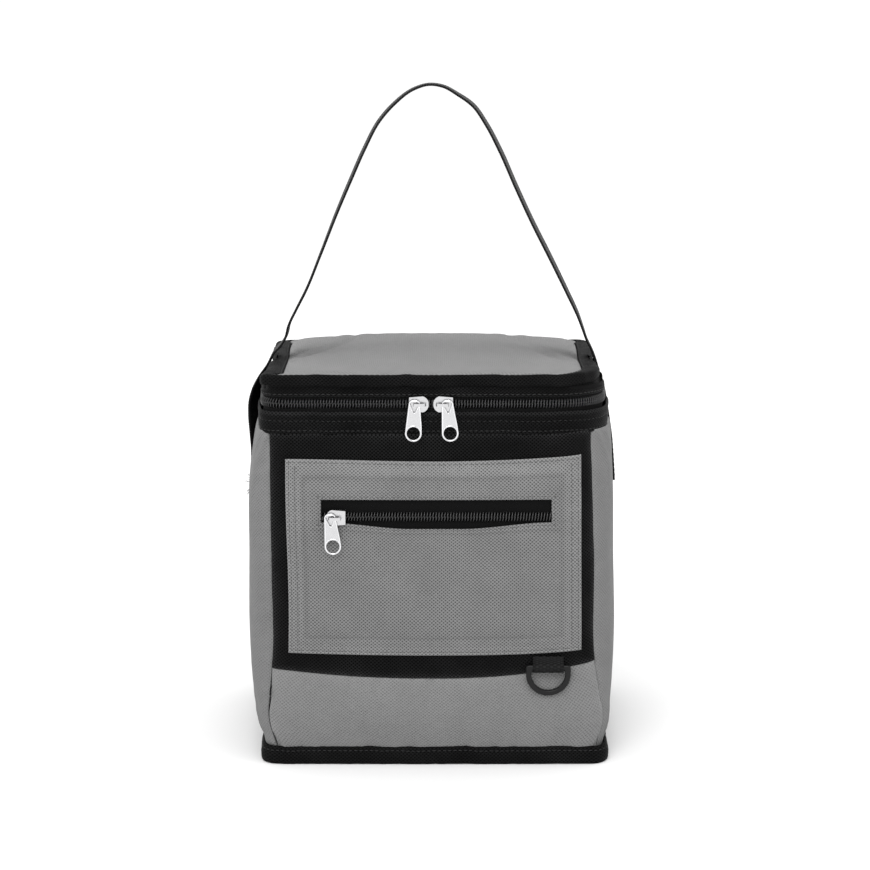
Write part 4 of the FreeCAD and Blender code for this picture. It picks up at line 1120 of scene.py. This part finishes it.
POCKET_ZIP_Z = 150.9
POCKET_TAPE_Y = -79.1
zip_x = np.linspace(-68.5, 72.5, 48)
pocket_tapes = []
for label, low, high in (("pocket_tape_low", 139.0, 148.8), ("pocket_tape_high", 153.0, 163.0)):
    middle = np.stack([zip_x, np.full(48, POCKET_TAPE_Y), np.zeros(48)], 1)
    tape = swept(label, middle, rounded_box(-0.7, low, -0.2, high, 0.15, 3), tape_black, closed=False)
    pocket_tapes.append(tape)
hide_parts("pocket_lower_tape")
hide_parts("pocket_upper_tape")
chain = np.stack([np.linspace(SLOT_LEFT + 0.6, SLOT_RIGHT - 0.6, 100), np.full(100, POCKET_TAPE_Y),
                  np.full(100, POCKET_ZIP_Z)], 1)
pocket_low_teeth = grown("pocket_lower_coil_teeth", coil_tree, [chain], {"Pitch": COIL_PITCH * MM, "Middle": (0, 0, 1)},
                         coil_black)
late = chain.copy()
late[0, 0] += COIL_PITCH / 2
pocket_high_teeth = grown("pocket_upper_coil_teeth", coil_tree, [late[::-1]],
                          {"Pitch": COIL_PITCH * MM, "Middle": (0, 0, -1)}, coil_black)
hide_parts("pocket_lower_coil")
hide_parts("pocket_upper_coil")
for piece, finish in ((pocket_tapes[0], "zip_tape"), (pocket_tapes[1], "zip_tape"), (pocket_low_teeth, "zip_coil"),
                      (pocket_high_teeth, "zip_coil")):
    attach(piece, "bag")


# ---- stitching ---------------------------------------------------------------------------------
# Lockstitch in grey thread on the pocket and black on everything else, about eight stitches to the
# inch, sunk a little into the cloth.

stitch_tree, stitch_in = new_tree("lockstitch", [("Pitch", "Float", 0.0031), ("Length", "Float", 0.0024),
                                                 ("Thread", "Float", 0.00042), ("Material", "Material", None)])
bead = thread_nodes(stitch_tree, "GeometryNodeMeshUVSphere")
bead.inputs["Segments"].default_value, bead.inputs["Rings"].default_value = 6, 5
bead.inputs["Radius"].default_value = 0.5
bead_size = thread_nodes(stitch_tree, "ShaderNodeCombineXYZ")
for label, source in (("X", "Length"), ("Y", "Thread"), ("Z", "Thread")):
    stitch_tree.links.new(stitch_in[source], bead_size.inputs[label])
stretch = thread_nodes(stitch_tree, "GeometryNodeTransform")
stitch_tree.links.new(bead.outputs["Mesh"], stretch.inputs["Geometry"])
stitch_tree.links.new(bead_size.outputs[0], stretch.inputs["Scale"])
finish_tree(stitch_tree, stitch_in, along_line(stitch_tree, stitch_in, stretch.outputs[0]))


def thread(name, dark, light):
    """Spun thread: a fine slanting twist along its length."""
    material, tree, surface = shader(name, Roughness=0.6, Specular_IOR_Level=0.2)
    place = thread_nodes(tree, "ShaderNodeTexCoord")
    twist = thread_nodes(tree, "ShaderNodeTexWave", wave_type="BANDS", bands_direction="DIAGONAL")
    twist.inputs["Scale"].default_value = 1400.0
    tree.links.new(place.outputs["Object"], twist.inputs["Vector"])
    tree.links.new(shades(tree, twist.outputs["Fac"], dark, light), surface.inputs["Base Color"])
    return material


# the pocket's grey thread is painted darker than its own colour: painted shade in the gaps between stitches
shade_darkened_grey_thread = thread("shade_darkened_grey_thread", (0.05, 0.05, 0.05), (0.16, 0.16, 0.16))
black_thread = thread("black_thread", (0.006, 0.006, 0.006), (0.05, 0.05, 0.05))


def on_grid(grid, values, wanted_rows, wanted_columns):
    """Points of a grid at fractional rows and columns."""
    r, c = np.asarray(wanted_rows, float), np.asarray(wanted_columns, float)
    r0 = np.clip(np.floor(r).astype(int), 0, grid.shape[0] - 2)
    c0 = np.clip(np.floor(c).astype(int), 0, grid.shape[1] - 2)
    fr, fc = (r - r0)[:, None], (c - c0)[:, None]
    point = ((1 - fr) * (1 - fc) * grid[r0, c0] + (1 - fr) * fc * grid[r0, c0 + 1]
             + fr * (1 - fc) * grid[r0 + 1, c0] + fr * fc * grid[r0 + 1, c0 + 1])
    return point + values * grid_normals(grid)[np.round(r).astype(int), np.round(c).astype(int)]


def pocket_stitches(x0, z0, x1, z1):
    """A straight run of stitches on the pocket between two points of its flat pattern."""
    x, z = np.linspace(x0, x1, 120), np.linspace(z0, z1, 120)
    c, r = np.interp(x, columns, np.arange(len(columns))), np.interp(z, rows, np.arange(len(rows)))
    return on_grid(pocket_grid, 0.02, r, c)


def stitched_round(left, low, right, high):
    """Four runs of stitches round a rectangle of the pocket's flat pattern."""
    corners = [(left, low), (right, low), (right, high), (left, high), (left, low)]
    return [pocket_stitches(*start, *stop) for start, stop in zip(corners[:-1], corners[1:])]


SECOND_ROW, SECOND_SHORT = 3.7, 3.0    # the side rows: further in, and shorter at each end
sewn_left, sewn_right = POCKET_LEFT + EDGE_ROW, POCKET_RIGHT - EDGE_ROW
sewn_low, sewn_high = POCKET_LOW + EDGE_ROW, POCKET_HIGH - EDGE_ROW
pocket_runs = stitched_round(sewn_left, sewn_low, sewn_right, sewn_high)
for x in (sewn_left + SECOND_ROW, sewn_right - SECOND_ROW):
    pocket_runs.append(pocket_stitches(x, sewn_low + SECOND_SHORT, x, sewn_high - SECOND_SHORT))
pocket_runs += stitched_round(SLOT_LEFT - SLOT_ROW, SLOT_LOW - SLOT_ROW,
                              SLOT_RIGHT + SLOT_ROW, SLOT_HIGH + SLOT_ROW)
pocket_thread = grown("pocket_stitches", stitch_tree, pocket_runs, {}, shade_darkened_grey_thread)


def wavy(line, seed, drift, out, up, closed=False):
    """Follows the drift of a swept strip, so that its stitches stay on its face."""
    s = run_lengths(looped(line))
    fade = np.minimum(1, np.minimum(s[:-1], s[-1] - s[:-1]) / 20) if closed else 1
    move = fade * wander(s[:-1], seed, 23.0, drift)
    rise = fade * (0.6 * wander(s[:-1], seed + 1, 31.0, drift) + 0.3 * wander(s[:-1], seed + 2, 7.0, drift))
    shifted = line + outward(line, closed) * (out + move)[:, None]
    return np.concatenate([shifted, (up + rise)[:, None]], 1)


band_step = band_line[::3]
bag_runs = [wavy(band_step, 81, 0.25, 0.2, 207.0), wavy(band_step, 81, 0.25, 0.28, 201.3)]
foot_step = foot[::3]
base_run = wavy(foot_step, 61, 0.35, 2.2, 8.4, closed=True)
bag_runs.append(looped(base_run))
lid_runs = [gusset_grid[4] + np.concatenate([gusset_out * 0.05, np.zeros((len(gusset_out), 1))], 1)]
top_run = inner_line + rim_out[::EVERY] * 1.0
flange_run = np.concatenate([top_run, np.full((count, 1), FLANGE_TOP - 0.2)], 1)
lid_runs.append(looped(flange_run))
bag_thread = grown("bag_stitches", stitch_tree, bag_runs, {}, black_thread)
lid_thread = grown("lid_stitches", stitch_tree, lid_runs, {}, black_thread)
for piece, body, finish in ((pocket_thread, "bag", "grey_fabric"), (bag_thread, "bag", "black_fabric"),
                            (lid_thread, "lid", "black_fabric")):
    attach(piece, body)


# ---- sliders and pull tabs ---------------------------------------------------------------------
# Stamped and bright nickel-plated, with a bridge over each slider's plate for its pull tab. The
# plating is scuffed all over, in tone and gloss.

nickel, nickel_tree, nickel_face = shader("nickel", Metallic=1.0, Roughness=0.25)
nickel_place = thread_nodes(nickel_tree, "ShaderNodeTexCoord")
brushed = noise_in(nickel_tree, nickel_place.outputs["Object"], 420.0, 5.0, 0.65)
nickel_tree.links.new(shades(nickel_tree, brushed, (0.46, 0.46, 0.465), (0.62, 0.62, 0.63)),
                      nickel_face.inputs["Base Color"])
uneven_gloss(nickel_tree, nickel_face, brushed, 0.16, 0.38)
for label in ("left", "right", "pocket"):
    for part in ("slider", "puller"):
        dress(f"{label}_{part}", nickel)
# the tabs' rolled rims: a smoother polish, and a base colour lighter than the plating's own as a painted highlight
rim_nickel_painted_highlight, _, _ = shader("rim_nickel_painted_highlight", Metallic=1.0, Roughness=0.14, Base_Color=(0.74, 0.74, 0.75, 1))


def smooth_line(points, step):
    """A smooth line through given points, evenly spaced by step."""
    points = np.asarray(points, float)
    s = run_lengths(points)
    fine = np.linspace(0, s[-1], 4000)
    dense = np.stack([curve(fine, s, points[:, k]) for k in range(points.shape[1])], 1)
    length = run_lengths(dense)
    even = np.linspace(0, length[-1], int(length[-1] / step) + 1)
    return np.stack([np.interp(even, length, dense[:, k]) for k in range(points.shape[1])], 1)


def arc_points(cx, cy, radius, start, stop, count=16):
    """Points of an arc, from one angle to another in degrees."""
    return [(cx + radius * math.cos(a), cy + radius * math.sin(a))
            for a in np.radians(np.linspace(start, stop, count))]


# Each pull tab has a raised rolled rim round its outline, its finger hole and its eye: across and
# up in mm from the point it hangs by.
HOLE_UP, HOLE_RADIUS = -16.7, 3.85
tab_edge = (arc_points(0, HOLE_UP, 4.8, 180, 360, 40) + arc_points(0.55, 0.1, 2.8, 0, 90)
            + arc_points(-0.55, 0.1, 2.8, 90, 180))
hole_edge = arc_points(0, HOLE_UP, HOLE_RADIUS, 0, 360, 49)[:-1]
eye_edge = (arc_points(0, -3.7, 0.85, 205, 335, 10) + arc_points(1.35, 0.5, 1.15, -20, 90, 10)
            + arc_points(-1.35, 0.5, 1.15, 90, 200, 10))
# each rim's line, its middle's distance outside that line, and half its width and half its depth
rims = (("edge", tab_edge, -0.42, 0.42, 0.82), ("hole", hole_edge, 0.45, 0.42, 0.86),
        ("eye", eye_edge, 0.32, 0.34, 0.78))
for label, tilt, hang in (("left", 2.3, (-10.6, -80.7, 217.15)), ("right", -5.4, (8.4, -80.7, 217.15)),
                          ("pocket", -5.2, (-59.6, -83.9, 150.9))):
    lean = math.radians(tilt)
    for part, outline, middle, wide, deep in rims:
        loop_line = np.array(outline)
        loop_line = smooth_line(looped(loop_line), 0.22)[:-1]
        ring_profile = [(middle + wide * math.cos(a), deep * math.sin(a))
                        for a in np.linspace(0, 2 * math.pi, 11)[:-1]]
        piece = swept(f"{label}_puller_{part}_rim", loop_line, ring_profile, rim_nickel_painted_highlight)
        flat = np.zeros(len(piece.data.vertices) * 3)
        piece.data.vertices.foreach_get("co", flat)
        across, up, out = flat.reshape(-1, 3).T
        world_points = np.stack([hang[0] * MM + across * math.cos(lean) + up * math.sin(lean),
                                 hang[1] * MM - out,
                                 hang[2] * MM - across * math.sin(lean) + up * math.cos(lean)], 1)
        piece.data.vertices.foreach_set("co", world_points.ravel())
        piece.data.update()
        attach(piece, label + "_puller")


# ---- webbing -----------------------------------------------------------------------------------
# One length of 25 mm black ribbed webbing makes the carry strap: its ends are box-stitched to the
# side walls below the zip, and the free part stands up in an arch. A short piece holds the D-ring.

webbing_group, web_in, web_out = group_of("ribbed_webbing", [("Cloth", "Vector", None), ("Rib", "Float", 0.0017),
                                                             ("Row", "Float", 0.0021)], ["Height", "Tone"])
web_axes = thread_nodes(webbing_group, "ShaderNodeSeparateXYZ")
webbing_group.links.new(web_in["Cloth"], web_axes.inputs[0])
web_row = sums(webbing_group, "DIVIDE", web_axes.outputs["X"], web_in["Row"])
web_step = sums(webbing_group, "MULTIPLY", sums(webbing_group, "FLOOR", web_row), 0.5)
web_rib = sums(webbing_group, "ADD", sums(webbing_group, "DIVIDE", web_axes.outputs["Y"], web_in["Rib"]), web_step)
rib_wave, row_wave = (
    sums(webbing_group, "ABSOLUTE", sums(webbing_group, "SINE", sums(webbing_group, "MULTIPLY", turns, math.pi)))
    for turns in (web_rib, web_row))
web_height = sums(webbing_group, "MULTIPLY", rib_wave, sums(webbing_group, "POWER", row_wave, 0.4))
web_fuzz = noise_in(webbing_group, web_in["Cloth"], 1800.0, 3.0, 0.6)
webbing_group.links.new(web_height, web_out["Height"])
webbing_group.links.new(sums(webbing_group, "MULTIPLY", sums(webbing_group, "ADD", web_height, 0.25),
                             sums(webbing_group, "ADD", web_fuzz, 0.3)), web_out["Tone"])

webbing, web_tree, web_face = shader("webbing_black", Roughness=0.5, Specular_IOR_Level=0.12)
web_map = thread_nodes(web_tree, "ShaderNodeUVMap", uv_map="cloth")
web_pattern = thread_nodes(web_tree, "ShaderNodeGroup", node_tree=webbing_group)
web_tree.links.new(web_map.outputs[0], web_pattern.inputs["Cloth"])
web_tree.links.new(shades(web_tree, web_pattern.outputs["Tone"], (0.0008, 0.0008, 0.0008), (0.009, 0.009, 0.0092)),
                   web_face.inputs["Base Color"])
relief(web_tree, web_face, web_pattern.outputs["Height"], 0.9, 0.00035)


WEFT = 1.7    # one cross yarn of the webbing


def webbing_piece(name, line, side, width, thick, tooth=0.32):
    """Webbing along a 3D line: side is the unit direction across it at each point."""
    along = np.gradient(line, axis=0)
    along /= np.linalg.norm(along, axis=1)[:, None]
    face = np.cross(along, side)
    face /= np.linalg.norm(face, axis=1)[:, None]
    s = run_lengths(line)
    across = np.linspace(-1, 1, 15)
    half = thick / 2
    section = [(a, 1.0 - 0.25 * abs(a) ** 6) for a in across]
    section += [(a, -f) for a, f in section[::-1]]
    size, count = len(section), len(line)
    points = np.zeros((count, size, 3))
    ragged = tooth * np.sin(2 * math.pi * s / WEFT)
    for k, (a, f) in enumerate(section):
        spread = a * width / 2 + np.sign(a) * (abs(a) > 0.95) * ragged
        lift = f * half * (1 + 0.10 * np.sin(2 * math.pi * s / WEFT + 1.5 * k))
        points[:, k] = line + side * spread[:, None] + face * lift[:, None]
    polygons, maps = [], []
    place = [(a + 1) * width / 2 for a, _ in section]
    for i in range(count - 1):
        for k in range(size):
            m = (k + 1) % size
            polygons.append([i * size + k, (i + 1) * size + k, (i + 1) * size + m, i * size + m][::-1])
            maps += [(place[k], s[i]), (place[k], s[i + 1]), (place[m], s[i + 1]), (place[m], s[i])][::-1]
    for i, order in ((0, range(size)), (count - 1, range(size - 1, -1, -1))):
        polygons.append([i * size + k for k in order])
        maps += [(place[k], s[i]) for k in order]
    return mesh_piece(name, points.reshape(-1, 3), polygons, maps, webbing, np.zeros(count * size))


# from the left end's raw edge up the side, over the arch and down the right side: x, z and twist
STRAP = [(-112.6, 152.4, 0), (-112.0, 158, 0), (-111.4, 165, 0), (-111.0, 173, 0), (-110.8, 180, -1), (-110.6, 186, -4),
         (-110.0, 192, -9), (-109.6, 200, -13), (-109.0, 208, -14), (-107.4, 215, -12), (-104.4, 223, -7), (-100.4, 231, 0),
         (-97.0, 237.6, 1), (-92.6, 242.2, 0.8), (-90.0, 246.6, 0.8), (-88.2, 253.4, 1), (-83.6, 263, 1), (-77.8, 274.2, 1.5),
         (-68.3, 297.1, 2.5), (-58.2, 322.4, 3.5), (-49.4, 342.7, 4), (-41.0, 361.2, 4), (-32.6, 376.6, 3.5), (-23.4, 387.0, 3),
         (-11.8, 395.6, 2), (-2.2, 398.4, 1.5), (6.0, 397.3, 2), (14.9, 392.6, 3), (24.2, 386.0, 4), (32.1, 375.0, 4.5),
         (40.6, 359.2, 5), (50.6, 337.0, 5), (60.7, 315.7, 5), (71.0, 295.7, 5), (82.3, 273.0, 4.5), (88.5, 260.0, 4),
         (92.0, 250.6, 3), (94.2, 244.4, 2), (96.8, 239.4, 1), (98.8, 234.0, 0.5), (101.0, 226.4, 0.5), (104.2, 217, 1),
         (106.1, 207, 1), (107.6, 197, 0.5), (109.0, 187, 0), (109.9, 177, 0), (110.6, 168, 0), (111.2, 159.2, 0)]
STRAP_WIDTH, STRAP_THICK = 25.0, 1.5
path = smooth_line([(x, 0.0, z, turn) for x, z, turn in STRAP], 0.85)
strap_twist = np.radians(path[:, 3])
strap_line = path[:, :3].copy()
strap_line[:, 1] = 1.2 * np.sin(strap_line[:, 2] / 41)
strap_along = np.gradient(strap_line, axis=0)
strap_along /= np.linalg.norm(strap_along, axis=1)[:, None]
level = np.tile([0.0, -1.0, 0.0], (len(strap_line), 1))
strap_face = np.cross(strap_along, level)
strap_face /= np.linalg.norm(strap_face, axis=1)[:, None]
strap_side = level * np.cos(strap_twist)[:, None] + strap_face * np.sin(strap_twist)[:, None]
carry = webbing_piece("carry_strap_webbing", strap_line, strap_side, STRAP_WIDTH, STRAP_THICK)
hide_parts("carry_strap", "left_strap_tail", "right_strap_tail")
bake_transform(carry)

box_runs = []
for side, low, high in ((-1, 156, 181), (1, 162, 184)):
    corners = [(-9.5, low), (9.5, low), (9.5, high), (-9.5, high), (-9.5, low), (9.5, high), (9.5, low), (-9.5, high)]
    for (y0, z0), (y1, z1) in zip(corners[:-1], corners[1:]):
        z = np.linspace(z0, z1, 30)
        rim_x = np.interp(z, *zip(*sorted((zz, xx) for xx, zz, _ in (STRAP[:6] if side < 0 else STRAP[-6:]))))
        box_runs.append(np.stack([rim_x + side * 0.82, np.linspace(y0, y1, 30), z], 1))
strap_thread = grown("strap_stitches", stitch_tree, box_runs, {"Pitch": 0.0028, "Length": 0.0022}, black_thread)
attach(strap_thread, "bag")

# the left end was cut without sealing, and its yarns have come loose
fray_tree, fray_in = new_tree("loose_yarn", [("Thread", "Float", 0.00011), ("Material", "Material", None)])
fray_curve = fray_tree.nodes.new("GeometryNodeMeshToCurve")
fray_ring = thread_nodes(fray_tree, "GeometryNodeCurvePrimitiveCircle")
fray_ring.inputs["Resolution"].default_value = 5
fray_tube = fray_tree.nodes.new("GeometryNodeCurveToMesh")
fray_tube.inputs["Fill Caps"].default_value = True
fray_tree.links.new(fray_in["Line"], fray_curve.inputs[0])
fray_tree.links.new(fray_in["Thread"], fray_ring.inputs["Radius"])
fray_tree.links.new(fray_curve.outputs[0], fray_tube.inputs["Curve"])
fray_tree.links.new(fray_ring.outputs["Curve"], fray_tube.inputs["Profile Curve"])
finish_tree(fray_tree, fray_in, fray_tube)
dice = np.random.RandomState(17)
yarns = []
for k in range(34):
    low = k < 26
    start = np.array([-112.6 + 0.5 * dice.rand(),
                      12.3 * (2 * dice.rand() - 1) if low else -12.5,
                      152.6 if low else 153 + 10 * dice.rand()])
    pull = np.array([-0.35 - 0.9 * dice.rand(),
                     0.5 * dice.randn() - (0 if low else 0.5),
                     -0.9 if low else -0.3])
    pull = pull * (1.0 + 2.2 * dice.rand() ** 2)
    bend = dice.randn(3) * 0.35
    yarns.append(np.array([start + pull * t + bend * t * t for t in np.linspace(0, 1, 7)]))
frays = grown("frayed_end", fray_tree, yarns, {}, webbing)
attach(frays, "bag")

tab_low, tab_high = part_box("d_ring_tab")
ring_low, ring_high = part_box("d_ring")
tab_x = (tab_low[0] + tab_high[0]) / 2 / MM
bar_y, bar_z = (ring_low[1] + ring_high[1]) / 2 / MM, ring_high[2] / MM - 1.6
tab_route = [(-78.6, 66.6), (-79.3, 64.6), (-80.9, 62.9)]
tab_route += [(bar_y - 2.55 * math.sin(a), bar_z + 2.55 * math.cos(a)) for a in np.radians([35, 75, 115, 155, 190])]
tab_route += [(-78.2, 59.2), (-77.75, 62.0), (-77.75, 66.0)]
tab_line = smooth_line([(tab_x, y, z) for y, z in tab_route], 0.5)
tab_side = np.tile([-1.0, 0.0, 0.0], (len(tab_line), 1))
tab = webbing_piece("d_ring_tab_webbing", tab_line, tab_side, 18.0, 0.95, tooth=0.12)
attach(tab, "bag")
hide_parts("d_ring_tab")


# ---- D-ring ------------------------------------------------------------------------------------
# A moulded black plastic ring, hanging by its straight bar in the tab, with a dull satin skin and
# fine scratches.

ring_plastic, ring_tree, ring_surface = shader("ring_plastic", Base_Color=(0.004, 0.004, 0.0042, 1), Roughness=0.35,
                                               Specular_IOR_Level=0.25)
ring_place = thread_nodes(ring_tree, "ShaderNodeTexCoord")
scuff = noise_in(ring_tree, ring_place.outputs["Object"], 900.0, 4.0, 0.7)
uneven_gloss(ring_tree, ring_surface, scuff, 0.26, 0.5)
dress("d_ring", ring_plastic)
